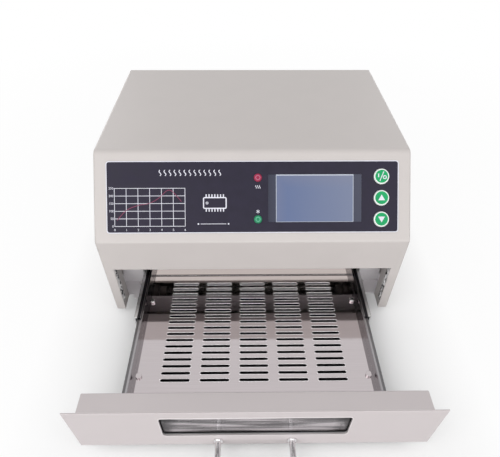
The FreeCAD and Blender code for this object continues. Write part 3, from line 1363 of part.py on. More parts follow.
for part_name, part_shape in all_parts().items():
    part_shape.exportStep(f"parts/{part_name}.step")
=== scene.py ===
"""Looks of a bench-top reflow oven with an open drawer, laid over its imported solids."""

import json
import logging
import math
from dataclasses import dataclass, field
from enum import Enum
from typing import ClassVar

import bmesh
import bpy
import numpy as np
from mathutils import Matrix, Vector
from numpy.typing import ArrayLike

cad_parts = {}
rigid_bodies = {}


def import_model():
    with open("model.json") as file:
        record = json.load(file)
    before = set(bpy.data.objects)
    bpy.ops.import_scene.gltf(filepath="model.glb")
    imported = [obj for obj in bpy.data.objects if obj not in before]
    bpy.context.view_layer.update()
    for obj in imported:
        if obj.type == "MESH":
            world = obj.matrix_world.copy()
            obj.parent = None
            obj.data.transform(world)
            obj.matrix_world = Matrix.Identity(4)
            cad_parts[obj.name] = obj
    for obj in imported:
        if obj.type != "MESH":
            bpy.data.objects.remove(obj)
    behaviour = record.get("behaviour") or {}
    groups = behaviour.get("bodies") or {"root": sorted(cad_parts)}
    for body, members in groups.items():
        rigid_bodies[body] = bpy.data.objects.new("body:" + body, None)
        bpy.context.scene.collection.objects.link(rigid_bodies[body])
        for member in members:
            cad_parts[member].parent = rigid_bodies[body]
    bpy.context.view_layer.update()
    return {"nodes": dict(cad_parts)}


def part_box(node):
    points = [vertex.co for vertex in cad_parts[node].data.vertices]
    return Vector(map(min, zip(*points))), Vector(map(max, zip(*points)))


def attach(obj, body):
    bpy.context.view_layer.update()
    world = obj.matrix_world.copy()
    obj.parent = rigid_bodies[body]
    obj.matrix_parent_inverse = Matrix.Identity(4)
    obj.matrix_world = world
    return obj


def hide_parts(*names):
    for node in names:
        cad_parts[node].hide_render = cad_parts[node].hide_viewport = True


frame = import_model()
log = logging.getLogger("reflow_oven")

Pair = tuple[float, float]
Triple = tuple[float, float, float]
Socket = bpy.types.NodeSocket
Value = float | Socket

MM = 0.001
FULL_TURN = 2 * math.pi
# Front plane of the casing, then the lower edge and the slope of the control face.
FRONT_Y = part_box("top_cover")[0].y
NOSE_Z = 108.5 * MM
FACE_ANGLE = math.atan2(63.5, 62.5)
# Top of the overlay over the control face and thickness of the print, in millimetres.
OVERLAY_TOP = 0.5
INK = 0.05
# Points on each rounded corner of an outline.
CORNER_POINTS = 7
# Range in which nearly all values of a noise texture fall.
NOISE: Pair = (0.3, 0.7)
WHITE = (1.0, 1.0, 1.0, 1.0)


class Body(Enum):
    """Bodies that new pieces ride on."""

    CHASSIS = "chassis"
    DRAWER = "drawer"
    POWER_KEY = "power_key"
    UP_KEY = "up_key"
    DOWN_KEY = "down_key"
    ROCKER = "switch_rocker"
    FAN = "fan_rotor"


class Tree:
    """Short-hand for adding nodes to one shader node tree."""

    def __init__(self, tree: bpy.types.NodeTree) -> None:
        """Keep the tree that nodes are added to."""
        self.tree = tree

    def add(self, kind: str, inputs: dict | None = None, **settings: object) -> bpy.types.Node:
        """Add one node.

        Args:
            kind: Blender's node type, without its ShaderNode prefix.
            inputs: Value or source socket for each input, by name or index.
            settings: Properties of the node itself.

        Returns:
            The new node.
        """
        prefix = "" if kind.startswith("NodeGroup") else "ShaderNode"
        node = self.tree.nodes.new(prefix + kind)
        for key, value in settings.items():
            setattr(node, key, value)
        for key, value in (inputs or {}).items():
            if isinstance(value, Socket):
                self.join(value, node.inputs[key])
            else:
                node.inputs[key].default_value = value
        return node

    def join(self, source: Socket, target: Socket) -> None:
        """Link an output to an input."""
        self.tree.links.new(source, target)

    def effect(self, group: bpy.types.NodeTree, inputs: dict) -> bpy.types.bpy_prop_collection:
        """Outputs of a shared effect that is placed in this tree."""
        return self.add("Group", inputs, node_tree=group).outputs

    def math(self, operation: str, a: Value, b: Value = 0.0) -> Socket:
        """Result of one sum on two values or sockets."""
        return self.add("Math", {0: a, 1: b}, operation=operation).outputs[0]

    def vector(self, operation: str, a: Socket, b: Triple | Socket = (0.0, 0.0, 0.0)) -> Socket:
        """Result of one sum on vectors: a number for a length or a dot product, else a vector."""
        node = self.add("VectorMath", {0: a, 1: b}, operation=operation)
        return node.outputs["Value" if operation in ("LENGTH", "DOT_PRODUCT") else 0]

    def remap(self, value: Socket, start: Pair, end: Pair = (0.0, 1.0)) -> Socket:
        """Value carried from one range to another and held inside it.

        Args:
            value: The value.
            start: Range that it comes from.
            end: Range that it goes to.

        Returns:
            The new value's socket.
        """
        keys = ("From Min", "From Max", "To Min", "To Max")
        return self.add("MapRange", {"Value": value} | dict(zip(keys, start + end))).outputs[0]

    def step(self, value: Socket, edge: float, blur: float = 0.0001) -> Socket:
        """Rise from 0 to 1 as a value passes an edge, over a short blur."""
        return self.remap(value, (edge - blur, edge + blur))

    def mix(self, factor: Value, a: Triple | Socket, b: Triple | Socket) -> Socket:
        """Colour between a and b.

        Args:
            factor: 0 for a and 1 for b.
            a: First colour.
            b: Second colour.

        Returns:
            The mixed colour's socket.
        """
        colours = [(*c, 1.0) if isinstance(c, tuple) else c for c in (a, b)]
        node = self.add("Mix", {0: factor, 6: colours[0], 7: colours[1]}, data_type="RGBA")
        return node.outputs[2]

    def objects(self) -> Socket:
        """Object coordinates, which are the oven's own frame in metres."""
        return self.add("TexCoord").outputs["Object"]

    def axes(self, place: Socket | None = None) -> bpy.types.bpy_prop_collection:
        """The three coordinates of a place, or of the Object coordinates."""
        return self.add("SeparateXYZ", {0: place or self.objects()}).outputs


def face_axes() -> np.ndarray:
    """Rows: across, up the slope and out of the control face."""
    sine, cosine = math.sin(FACE_ANGLE), math.cos(FACE_ANGLE)
    return np.array([[1.0, 0.0, 0.0], [0.0, cosine, sine], [0.0, -sine, cosine]])


def on_face(points: np.ndarray) -> np.ndarray:
    """Carry points from the control face into the frame.

    Args:
        points: Millimetres across, up the slope and outwards, on the array's last axis.

    Returns:
        The same points in metres in the oven's frame.
    """
    return points * MM @ face_axes() + np.array([0.0, FRONT_Y, NOSE_Z])


def face_place(tree: Tree) -> Socket:
    """Object coordinates turned into the control face's directions.

    Args:
        tree: The tree that needs them.

    Returns:
        Socket of the metres across, up the slope and outwards.
    """
    origin = face_axes() @ np.array([0.0, FRONT_Y, NOSE_Z])
    turn = {"Rotation": (-FACE_ANGLE, 0.0, 0.0), "Location": tuple(-origin)}
    return tree.add("Mapping", {"Vector": tree.objects()} | turn).outputs[0]


class Effects:
    """Node groups that several finishes share, each built once.

    BROAD is the scale of the slow drift as a share of the fine one. The last constant is the
    agreement of the normals where the painted edge highlight starts and where it is full.
    """

    BROAD: ClassVar[float] = 1 / 30
    FINE_DETAIL: ClassVar[float] = 3.0
    BROAD_DETAIL: ClassVar[float] = 2.0
    STREAK_DETAIL: ClassVar[float] = 4.0
    BEVEL_SAMPLES: ClassVar[int] = 4
    WORN: ClassVar[Pair] = (0.99, 0.80)

    def __init__(self) -> None:
        """Build every shared effect, and start the list of materials made with them."""
        self.made: dict[str, bpy.types.Material] = {}
        self.grain = self._grain()
        self.streaks = self._streaks()
        self.edges = self._edges()
        self.box = self._box()
        self.disc = self._disc()

    @staticmethod
    def _start(name: str, inputs: dict[str, str], outputs: dict[str, str]) -> tuple:
        """Open a new group with named sockets.

        Args:
            name: Name of the group.
            inputs: Socket type of each input, by name.
            outputs: Socket type of each output, by name.

        Returns:
            The group, its tree helper, the sockets that come in and those that go out.
        """
        group = bpy.data.node_groups.new(name, "ShaderNodeTree")
        for way, kinds in (("INPUT", inputs), ("OUTPUT", outputs)):
            for key, kind in kinds.items():
                group.interface.new_socket(key, in_out=way, socket_type="NodeSocket" + kind)
        tree = Tree(group)
        return group, tree, tree.add("NodeGroupInput").outputs, tree.add("NodeGroupOutput").inputs

    def _grain(self) -> bpy.types.NodeTree:
        """Fine even texture with a slow drift in tone: noise at one scale, and at a share of it.

        Returns:
            The effect's node group.
        """
        kinds = {"Height": "Float", "Tone": "Float"}
        group, tree, source, sink = self._start("fine_grain", {"Scale": "Float"}, kinds)
        broad = tree.math("MULTIPLY", source["Scale"], self.BROAD)
        fine = ("Height", source["Scale"], self.FINE_DETAIL)
        for key, scale, detail in (fine, ("Tone", broad, self.BROAD_DETAIL)):
            noise = {"Vector": tree.objects(), "Scale": scale, "Detail": detail}
            tree.join(tree.add("TexNoise", noise).outputs[0], sink[key])
        return group

    def _streaks(self) -> bpy.types.NodeTree:
        """Rolled, brushed or wiped lines: noise drawn out by a stretch of the coordinates.

        Returns:
            The effect's node group.
        """
        kinds = {"Stretch": "Vector"}
        group, tree, source, sink = self._start("drawn_streaks", kinds, {"Line": "Float"})
        where = tree.vector("MULTIPLY", tree.objects(), source["Stretch"])
        noise = {"Vector": where, "Scale": 1.0, "Detail": self.STREAK_DETAIL}
        tree.join(tree.add("TexNoise", noise).outputs[0], sink["Line"])
        return group

    def _edges(self) -> bpy.types.NodeTree:
        """Edges: how far the true normal departs from the normal rounded over a radius; the mask
        paints a highlight on edges and bends.

        Returns:
            The effect's node group.
        """
        kinds = {"Mask": "Float", "Normal": "Vector"}
        group, tree, source, sink = self._start("soft_edges", {"Radius": "Float"}, kinds)
        radius = {"Radius": source["Radius"]}
        soft = tree.add("Bevel", radius, samples=self.BEVEL_SAMPLES).outputs[0]
        same = tree.vector("DOT_PRODUCT", soft, tree.add("NewGeometry").outputs["Normal"])
        tree.join(tree.remap(same, self.WORN), sink["Mask"])
        tree.join(soft, sink["Normal"])
        return group

    def _box(self) -> bpy.types.NodeTree:
        """Mask that is 1 where a place is within half sizes of a centre on every axis.

        Returns:
            The effect's node group.
        """
        kinds = dict.fromkeys(("Place", "Centre", "Half"), "Vector")
        group, tree, source, sink = self._start("box_mask", kinds, {"Mask": "Float"})
        size = tree.vector("ABSOLUTE", tree.vector("SUBTRACT", source["Place"], source["Centre"]))
        x, y, z = tree.axes(tree.vector("SUBTRACT", source["Half"], size))
        least = tree.math("MINIMUM", tree.math("MINIMUM", x, y), z)
        tree.join(tree.math("GREATER_THAN", least, 0.0), sink["Mask"])
        return group

    def _disc(self) -> bpy.types.NodeTree:
        """Distance of a place from a line through a centre along an axis.

        Returns:
            The effect's node group.
        """
        kinds = dict.fromkeys(("Place", "Centre", "Axis"), "Vector")
        group, tree, source, sink = self._start("axis_distance", kinds, {"Distance": "Float"})
        offset = tree.vector("SUBTRACT", source["Place"], source["Centre"])
        across = tree.vector("CROSS_PRODUCT", offset, source["Axis"])
        tree.join(tree.vector("LENGTH", across), sink["Distance"])
        return group


@dataclass(frozen=True)
class Look:
    """A material while it is being built: its node tree, its shader and the shared effects."""

    tree: Tree
    shader: bpy.types.Node
    effects: Effects

    def feed(self, key: str, source: Socket) -> None:
        """Link a socket to one of the shader's inputs."""
        self.tree.join(source, self.shader.inputs[key])

    def fed(self, key: str) -> Socket:
        """Socket that already feeds one of the shader's inputs."""
        return self.shader.inputs[key].links[0].from_socket

    def grain(self, scale: float) -> bpy.types.bpy_prop_collection:
        """Height and tone of the fine grain at a scale."""
        return self.tree.effect(self.effects.grain, {"Scale": scale})

    def streaks(self, stretch: Triple) -> Socket:
        """Drawn-out lines at a scale along each axis."""
        return self.tree.effect(self.effects.streaks, {"Stretch": stretch})["Line"]

    def edges(self, radius: float) -> bpy.types.bpy_prop_collection:
        """Mask and normal of edges that are rounded over a radius."""
        return self.tree.effect(self.effects.edges, {"Radius": radius})

    def box(self, place: Socket, centre: Triple, half: Triple) -> Socket:
        """Mask of a box about a centre."""
        inputs = {"Place": place, "Centre": centre, "Half": half}
        return self.tree.effect(self.effects.box, inputs)["Mask"]

    def tint(self, colour: Triple, tone: Socket, shades: Pair) -> Socket:
        """Let the colour drift with a tone.

        Args:
            colour: The colour.
            tone: Socket with a noise.
            shades: Brightness at the noise's low end and at its high end.

        Returns:
            The drifting colour's socket, which feeds the shader.
        """
        dark, light = (tuple(min(1.0, c * shade) for c in colour) for shade in shades)
        drifting = self.tree.mix(self.tree.remap(tone, NOISE), dark, light)
        self.feed("Base Color", drifting)
        return drifting

    def relief(self, height: Socket, bump: Pair, normal: Socket | None = None) -> None:
        """Feed a bump to the shader.

        Args:
            height: Socket with the height.
            bump: Strength of the bump, and height in metres at 1.
            normal: Socket of a normal to start from, if any.
        """
        inputs = {"Strength": bump[0], "Distance": bump[1], "Height": height}
        if normal is not None:
            inputs["Normal"] = normal
        self.feed("Normal", self.tree.add("Bump", inputs).outputs[0])


def blank_material(name: str) -> tuple[bpy.types.Material, Tree]:
    """Start a material.

    Args:
        name: Its name.

    Returns:
        The material and its empty tree.
    """
    material = bpy.data.materials.new(name)
    material.use_nodes = True
    material.node_tree.nodes.clear()
    return material, Tree(material.node_tree)


@dataclass(frozen=True)
class Finish:
    """A surface finish, turned into one material.

    Each kind of finish sets the scale of its GRAIN, the brightness at the low and the high end of
    its TONE, the share of its roughness at both ends of its GLOSS, and the strength and the height
    in metres of its BUMP. A kind with softened edges also sets their EDGE_RADIUS.
    """

    name: str
    colour: Triple
    roughness: float = 0.5
    metallic: float = 0.0
    constants: tuple[tuple[str, float], ...] = ()

    GRAIN: ClassVar[float] = 2200.0
    TONE: ClassVar[Pair] = (0.92, 1.06)
    GLOSS: ClassVar[Pair] = (1.0, 1.0)
    BUMP: ClassVar[Pair] = (0.08, 0.00005)

    def material(self, effects: Effects) -> bpy.types.Material:
        """Build the material on first use.

        Args:
            effects: The shared effects.

        Returns:
            The finished material.
        """
        if self.name in effects.made:
            return effects.made[self.name]
        material, tree = blank_material(f"{self.name}_finish")
        effects.made[self.name] = material
        plain = {"Base Color": (*self.colour, 1.0), "Roughness": self.roughness}
        plain |= {"Metallic": self.metallic} | dict(self.constants)
        shader = tree.add("BsdfPrincipled", plain)
        tree.add("OutputMaterial", {0: shader.outputs[0]})
        self.dress(Look(tree, shader, effects))
        return material

    def gloss(self) -> Pair:
        """Roughness at the low and the high end of a noise."""
        return self.roughness * self.GLOSS[0], self.roughness * self.GLOSS[1]

    def dress(self, look: Look) -> None:
        """Add what changes over the surface: a fine grain in tone and relief.

        Args:
            look: The material being built.
        """
        grain = look.grain(self.GRAIN)
        look.tint(self.colour, grain["Tone"], self.TONE)
        look.relief(grain["Height"], self.BUMP)


@dataclass(frozen=True)
class Paint(Finish):
    """Satin stoved paint on sheet steel: orange peel, softened bends and a painted highlight on
    edges and bends.
    """

    # edge is the colour of the painted highlight on edges and bends.
    edge: Triple = (0.80, 0.77, 0.74)

    GRAIN: ClassVar[float] = 900.0
    TONE: ClassVar[Pair] = (0.988, 1.012)
    BUMP: ClassVar[Pair] = (0.10, 0.00008)
    EDGE_RADIUS: ClassVar[float] = 0.0007
    # Share of the painted edge highlight where it is full.
    WEAR: ClassVar[float] = 0.45
    GLOSS_DRIFT: ClassVar[float] = 0.02

    def gloss(self) -> Pair:
        """Roughness at the low and the high end of a noise."""
        return self.roughness - self.GLOSS_DRIFT, self.roughness + self.GLOSS_DRIFT

    def dress(self, look: Look) -> None:
        """Add orange peel, drift in tone and gloss, and a painted highlight on edges and bends.

        Args:
            look: The material being built.
        """
        tree, grain, edges = look.tree, look.grain(self.GRAIN), look.edges(self.EDGE_RADIUS)
        colour = look.tint(self.colour, grain["Tone"], self.TONE)
        # Painted highlight: edges and bends are mixed towards a paler colour.
        edge_highlight = tree.math("MULTIPLY", edges["Mask"], self.WEAR)
        look.feed("Base Color", tree.mix(edge_highlight, colour, self.edge))
        look.feed("Roughness", tree.remap(grain["Tone"], NOISE, self.gloss()))
        look.relief(grain["Height"], self.BUMP, edges["Normal"])


@dataclass(frozen=True)
class Metal(Finish):
    """Bare metal: drawn lines along one axis, handling marks in the gloss and softened edges."""

    stretch: Triple = (30.0, 900.0, 900.0)
    line: float = 0.05
    wave: float = 0.0
    drift: float = 0.06

    GRAIN: ClassVar[float] = 420.0
    GLOSS: ClassVar[Pair] = (0.8, 1.25)
    BUMP: ClassVar[Pair] = (0.35, 0.0004)
    EDGE_RADIUS: ClassVar[float] = 0.0004
    SMUDGES: ClassVar[Pair] = (0.35, 0.75)

    def dress(self, look: Look) -> None:
        """Add rolling lines, smudges and a slow wave of the sheet.

        Args:
            look: The material being built.
        """
        tree, tone, line = look.tree, look.grain(self.GRAIN)["Tone"], look.streaks(self.stretch)
        look.tint(self.colour, line, (1 - self.drift, 1 + self.drift))
        smudge = tree.remap(tone, self.SMUDGES, (0.0, self.drift * 2))
        look.feed("Roughness", tree.math("ADD", tree.remap(line, NOISE, self.gloss()), smudge))
        height = tree.math("MULTIPLY", line, self.line)
        if self.wave:
            height = tree.math("ADD", height, tree.math("MULTIPLY", tone, self.wave))
        look.relief(height, self.BUMP, look.edges(self.EDGE_RADIUS)["Normal"])


@dataclass(frozen=True)
class Band:
    """Another colour of metal, from a distance off the middle plane or from a depth backwards."""

    start: float
    colour: Triple
    deep: bool = False


@dataclass(frozen=True)
class BandedMetal(Metal):
    """Bare metal whose colour changes in steps: bands of painted shade, painted highlight and
    painted reflection on the slides and the tray.
    """

    bands: tuple[Band, ...] = ()

    def dress(self, look: Look) -> None:
        """Lay each band over the metal and over the bands before it.

        Args:
            look: The material being built.
        """
        super().dress(look)
        tree = look.tree
        across, depth, _ = tree.axes()
        away = tree.math("ABSOLUTE", across)
        colour = look.fed("Base Color")
        # Each band is painted shade, a painted highlight or a painted reflection.
        for band in self.bands:
            inside = tree.step(depth if band.deep else away, band.start)
            colour = tree.mix(inside, colour, band.colour)
        look.feed("Base Color", colour)


@dataclass(frozen=True)
class Plastic(Finish):
    """Moulded plastic or rubber with a fine spark-eroded texture."""

    texture: float = 0.15

    GRAIN: ClassVar[float] = 3000.0
    TONE: ClassVar[Pair] = (0.9, 1.1)
    GLOSS: ClassVar[Pair] = (0.85, 1.15)
    EDGE_RADIUS: ClassVar[float] = 0.0003
    TEXTURE_HEIGHT: ClassVar[float] = 0.00006

    def dress(self, look: Look) -> None:
        """Add the mould's texture, a drift in tone and gloss, and softened edges.

        Args:
            look: The material being built.
        """
        grain, edges = look.grain(self.GRAIN), look.edges(self.EDGE_RADIUS)
        look.tint(self.colour, grain["Tone"], self.TONE)
        look.feed("Roughness", look.tree.remap(grain["Tone"], NOISE, self.gloss()))
        look.relief(grain["Height"], (self.texture, self.TEXTURE_HEIGHT), edges["Normal"])


@dataclass(frozen=True)
class Glass(Finish):
    """Pane or tube with handling marks in its gloss, painted shade darkening it towards its ends
    and painted reflection in dark streaks.
    """

    fumes: Triple = (0.035, 0.033, 0.037)
    clear_half: float = 1.0
    browned_half: float = 2.0
    streaky: float = 0.0

    GRAIN: ClassVar[float] = 700.0
    BUMP: ClassVar[Pair] = (0.03, 0.0002)
    PATCHES: ClassVar[Pair] = (-0.012, 0.012)
    END_STAIN: ClassVar[float] = 0.75
    WIPED: ClassVar[Triple] = (11.0, 170.0, 170.0)
    STREAKS: ClassVar[Pair] = (0.44, 0.57)
    MARKS: ClassVar[Pair] = (0.45, 0.8)
    DULLED: ClassVar[float] = 0.08

    def dress(self, look: Look) -> None:
        """Add handling marks to the gloss, and painted shade towards the ends and painted
        reflection in streaks to the colour.

        Args:
            look: The material being built.
        """
        tree, tone = look.tree, look.grain(self.GRAIN)["Tone"]
        away = tree.math("ABSOLUTE", tree.axes()[0])
        patchy = tree.math("ADD", away, tree.remap(tone, NOISE, self.PATCHES))
        # Painted shade: the colour darkens towards the pane's ends; the dark streaks are a painted
        # reflection.
        ends = tree.remap(patchy, (self.clear_half, self.browned_half), (0.0, self.END_STAIN))
        streaks = tree.remap(look.streaks(self.WIPED), self.STREAKS, (0.0, self.streaky))
        painted_dark = tree.math("MINIMUM", tree.math("ADD", ends, streaks), 1.0)
        look.feed("Base Color", tree.mix(painted_dark, self.colour, self.fumes))
        dull = (self.roughness, self.roughness + self.DULLED)
        look.feed("Roughness", tree.remap(tone, self.MARKS, dull))
        look.relief(tone, self.BUMP)


@dataclass(frozen=True)
class Foil(Finish):
    """Aluminium foil tape with creases between cells, and facets painted lighter and darker as
    painted reflections.
    """

    TONE: ClassVar[Pair] = (0.05, 1.0)
    BUMP: ClassVar[Pair] = (0.6, 0.0006)
    CREASES: ClassVar[float] = 420.0
    FACETS: ClassVar[float] = 300.0

    def dress(self, look: Look) -> None:
        """Add creases to the relief, and facets of painted reflection, near black to white, to the
        colour.

        Args:
            look: The material being built.
        """
        tree = look.tree
        cells = {"Vector": tree.objects(), "Scale": self.CREASES}
        creases = tree.add("TexVoronoi", cells, feature="DISTANCE_TO_EDGE")
        facets = tree.add("TexVoronoi", {"Vector": tree.objects(), "Scale": self.FACETS})
        shade = tree.add("SeparateColor", {0: facets.outputs["Color"]}).outputs[0]
        # Painted reflection: each facet's colour is set between near black and white.
        look.tint(self.colour, shade, self.TONE)
        look.relief(creases.outputs["Distance"], self.BUMP)


@dataclass(frozen=True)
class Fibre(Finish):
    """Matted ceramic fibre."""

    GRAIN: ClassVar[float] = 1200.0
    TONE: ClassVar[Pair] = (0.82, 1.08)
    BUMP: ClassVar[Pair] = (0.8, 0.001)
    STRANDS: ClassVar[Triple] = (160.0, 700.0, 700.0)

    def dress(self, look: Look) -> None:
        """Add tangled strands and uneven tone."""
        look.tint(self.colour, look.grain(self.GRAIN)["Tone"], self.TONE)
        look.relief(look.streaks(self.STRANDS), self.BUMP)


@dataclass(frozen=True)
class RimmedCap(Finish):
    """Round key or lens with a band of another colour round its axis: a white ring on the keys, and
    a painted highlight round the lamps' lenses.
    """

    centre: Triple = (0.0, 0.0, 0.0)
    axis: Triple = (0.0, 0.0, 1.0)
    band: Triple = (0.85, 0.87, 0.86)
    band_radii: Pair = (0.0063, 1.0)

    GRAIN: ClassVar[float] = 2600.0
    TONE: ClassVar[Pair] = (0.9, 1.1)
    BUMP: ClassVar[Pair] = (0.1, 0.00005)

    def dress(self, look: Look) -> None:
        """Mix the band's colour in between its radii, over a fine grain.

        Args:
            look: The material being built.
        """
        tree, grain = look.tree, look.grain(self.GRAIN)
        colour = look.tint(self.colour, grain["Tone"], self.TONE)
        places = {"Place": tree.objects(), "Centre": self.centre, "Axis": self.axis}
        away = tree.effect(look.effects.disc, places)["Distance"]
        past_inner, past_outer = (tree.step(away, radius) for radius in self.band_radii)
        between = tree.math("SUBTRACT", past_inner, past_outer)
        look.feed("Base Color", tree.mix(between, colour, self.band))
        look.relief(grain["Height"], self.BUMP)


@dataclass(frozen=True)
class Screen(Finish):
    """Liquid-crystal display: pale blue-grey field with bright edges between darker margins.

    Its places are metres across and up the control face.
    """

    field_colours: tuple[Triple, Triple] = ((0.115, 0.155, 0.285), (0.165, 0.195, 0.295))
    bright: Triple = (0.45, 0.48, 0.56)
    haze: Triple = (0.20, 0.20, 0.265)
    margin_glow: Triple = (0.048, 0.052, 0.082)

    GRAIN: ClassVar[float] = 260.0
    GLOSS: ClassVar[Pair] = (0.8, 1.4)
    MOTTLE: ClassVar[Pair] = (-0.15, 0.15)
    FIELD_ACROSS: ClassVar[Pair] = (0.023, 0.098)
    TOP_HAZE: ClassVar[tuple[Pair, Pair]] = ((0.052, 0.0655), (0.0, 0.4))
    LEFT_HAZE: ClassVar[tuple[Pair, Pair]] = ((0.023, 0.034), (0.35, 0.0))
    LEFT_MARGIN: ClassVar[Pair] = (0.0148, 0.023)
    EDGE_BOX: ClassVar[tuple[Triple, Triple]] = ((0.0605, 0.0425, 0.0), (0.0379, 0.0231, 1.0))
    FIELD_BOX: ClassVar[tuple[Triple, Triple]] = ((0.0605, 0.0421, 0.0), (0.0373, 0.0223, 1.0))

    def dress(self, look: Look) -> None:
        """Lay out the field, its edges and its margins in the control face's own directions.

        Args:
            look: The material being built.
        """
        tree, tone = look.tree, look.grain(self.GRAIN)["Tone"]
        place = face_place(tree)
        across, up, _ = tree.axes(place)
        mottle = tree.remap(tone, NOISE, self.MOTTLE)
        drift = tree.math("ADD", tree.remap(across, self.FIELD_ACROSS), mottle)
        hazed = (tree.remap(up, *self.TOP_HAZE), tree.remap(across, *self.LEFT_HAZE))
        glow = tree.mix(drift, *self.field_colours)
        glow = tree.mix(tree.math("MAXIMUM", *hazed), glow, self.haze)
        margin = tree.mix(tree.remap(across, self.LEFT_MARGIN), self.colour, self.margin_glow)
        edged = tree.mix(look.box(place, *self.EDGE_BOX), margin, self.bright)
        look.feed("Base Color", tree.mix(look.box(place, *self.FIELD_BOX), edged, glow))
        look.feed("Roughness", tree.remap(tone, NOISE, self.gloss()))


@dataclass(frozen=True)
class Inlet(Plastic):
    """Moulded inlet whose contact pins are bare metal inside a box round them."""

    pin_centre: Triple = (0.0, 0.0, 0.0)
    pin_half: Triple = (0.0082, 0.0051, 0.0044)
    pin_colour: Triple = (0.72, 0.70, 0.66)

    def dress(self, look: Look) -> None:
        """Make the pins metal.

        Args:
            look: The material being built.
        """
        super().dress(look)
        pins = look.box(look.tree.objects(), self.pin_centre, self.pin_half)
        look.feed("Base Color", look.tree.mix(pins, look.fed("Base Color"), self.pin_colour))
        look.feed("Metallic", pins)


@dataclass
class Shell:
    """Points and faces gathered for one piece."""

    points: list[np.ndarray] = field(default_factory=list)
    faces: list[list[int]] = field(default_factory=list)
    count: int = 0

    MERGED: ClassVar[float] = 1e-7
    SLIVER: ClassVar[float] = 1e-8

    def surface(self, grid: np.ndarray, round_u: bool = False, round_v: bool = False) -> None:
        """Add a grid of points joined by quads.

        Args:
            grid: Array of rows, columns and three coordinates.
            round_u: Join the last row to the first.
            round_v: Join the last column to the first.
        """
        rows, columns = grid.shape[:2]
        index = np.arange(rows * columns).reshape(rows, columns) + self.count
        index = np.vstack([index, index[:1]]) if round_u else index
        index = np.hstack([index, index[:, :1]]) if round_v else index
        corners = [index[:-1, :-1], index[:-1, 1:], index[1:, 1:], index[1:, :-1]]
        self.faces += np.stack(corners, axis=-1).reshape(-1, 4).tolist()
        self.points.append(grid.reshape(-1, 3))
        self.count += rows * columns

    def cap(self, loop: np.ndarray) -> None:
        """Close a loop of points with one face.

        Args:
            loop: The points in order.
        """
        self.faces.append(list(range(self.count, self.count + len(loop))))
        self.points.append(loop)
        self.count += len(loop)

    def sweep(self, grid: np.ndarray, closed: bool) -> None:
        """Add a section carried along a path.

        Args:
            grid: Array of path points, section points and three coordinates.
            closed: The path is a ring; otherwise its ends are capped.
        """
        self.surface(grid, round_u=closed, round_v=True)
        if not closed:
            self.cap(grid[0])
            self.cap(grid[-1])

    def prism(self, low: np.ndarray, high: np.ndarray) -> None:
        """Add a solid between two outlines with as many points.

        Args:
            low: Outline of the underside.
            high: Outline of the top.
        """
        self.surface(np.stack([low, high]), round_v=True)
        self.cap(high)
        self.cap(low)

    def piece(
        self, name: str, material: bpy.types.Material, smooth: bool = False
    ) -> bpy.types.Object:
        """Make the object.

        Args:
            name: Name of the piece.
            material: Its material.
            smooth: Shade it smooth.

        Returns:
            The object, at the origin with its place in its mesh.
        """
        mesh = bpy.data.meshes.new(name)
        mesh.from_pydata(np.vstack(self.points).tolist(), [], self.faces)
        mesh.polygons.foreach_set("use_smooth", np.full(len(mesh.polygons), smooth))
        mesh.materials.append(material)
        self.clean(mesh)
        thing = bpy.data.objects.new(name, mesh)
        bpy.context.scene.collection.objects.link(thing)
        return thing

    def clean(self, mesh: bpy.types.Mesh) -> None:
        """Merge doubled points and turn the faces outwards.

        Args:
            mesh: The mesh to clean.
        """
        work = bmesh.new()
        work.from_mesh(mesh)
        bmesh.ops.remove_doubles(work, verts=work.verts, dist=self.MERGED)
        bmesh.ops.dissolve_degenerate(work, edges=work.edges, dist=self.SLIVER)
        bmesh.ops.recalc_face_normals(work, faces=work.faces)
        work.to_mesh(mesh)
        work.free()


def settle(piece: bpy.types.Object, body: Body) -> None:
    """Let a piece ride on a body and report it.

    Args:
        piece: The new piece.
        body: The body that carries it.
    """
    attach(piece, body.value)
    log.info("%s rides on %s", piece.name, body.value)


def stroke(path: np.ndarray, width: float, base: float, closed: bool = False) -> np.ndarray:
    """Printed line: a flat rectangle carried along a path, mitred at its corners.

    At each point the side direction is the mean of the two neighbouring runs turned a quarter
    turn, made longer by one over the cosine of half the turn.

    Args:
        path: Points on a face, in millimetres.
        width: Width of the line.
        base: Height of its underside above the face.
        closed: Join the end to the start.

    Returns:
        Grid of path points by the rectangle's four corners.
    """
    ahead = np.roll(path, -1, axis=0) - path
    behind = path - np.roll(path, 1, axis=0)
    if not closed:
        ahead[-1], behind[0] = behind[-1], ahead[0]
    ahead /= np.linalg.norm(ahead, axis=1, keepdims=True)
    behind /= np.linalg.norm(behind, axis=1, keepdims=True)
    side = np.stack([-(ahead + behind)[:, 1], (ahead + behind)[:, 0]], axis=1)
    side /= np.linalg.norm(side, axis=1, keepdims=True)
    across = np.stack([-ahead[:, 1], ahead[:, 0]], axis=1)
    sharpest = 0.4
    side *= width / 2 / np.maximum(sharpest, np.sum(side * across, axis=1))[:, None]
    low, high = np.full((len(path), 1), base), np.full((len(path), 1), base + INK)
    edges = [np.hstack([path - side, low]), np.hstack([path + side, low])]
    edges += [np.hstack([path + side, high]), np.hstack([path - side, high])]
    return np.stack(edges, axis=1)


def ink(
    shell: Shell, path: ArrayLike, width: float, base: float = OVERLAY_TOP, closed: bool = False
) -> None:
    """Add one printed line on the control face.

    Args:
        shell: Where it goes.
        path: Points across and up the slope, in millimetres.
        width: Width of the line.
        base: Height of its underside above the face.
        closed: Join the end to the start.
    """
    shell.sweep(on_face(stroke(np.asarray(path, float), width, base, closed)), closed)


def patch(shell: Shell, outline: np.ndarray, base: float = OVERLAY_TOP) -> None:
    """Add a flat printed patch: its outline on the control face at two heights.

    Args:
        shell: Where it goes.
        outline: Points across and up the slope, in millimetres.
        base: Height of its underside above the face.
    """
    heights = (np.full((len(outline), 1), height) for height in (base, base + INK))
    shell.prism(*(on_face(np.hstack([outline, height])) for height in heights))


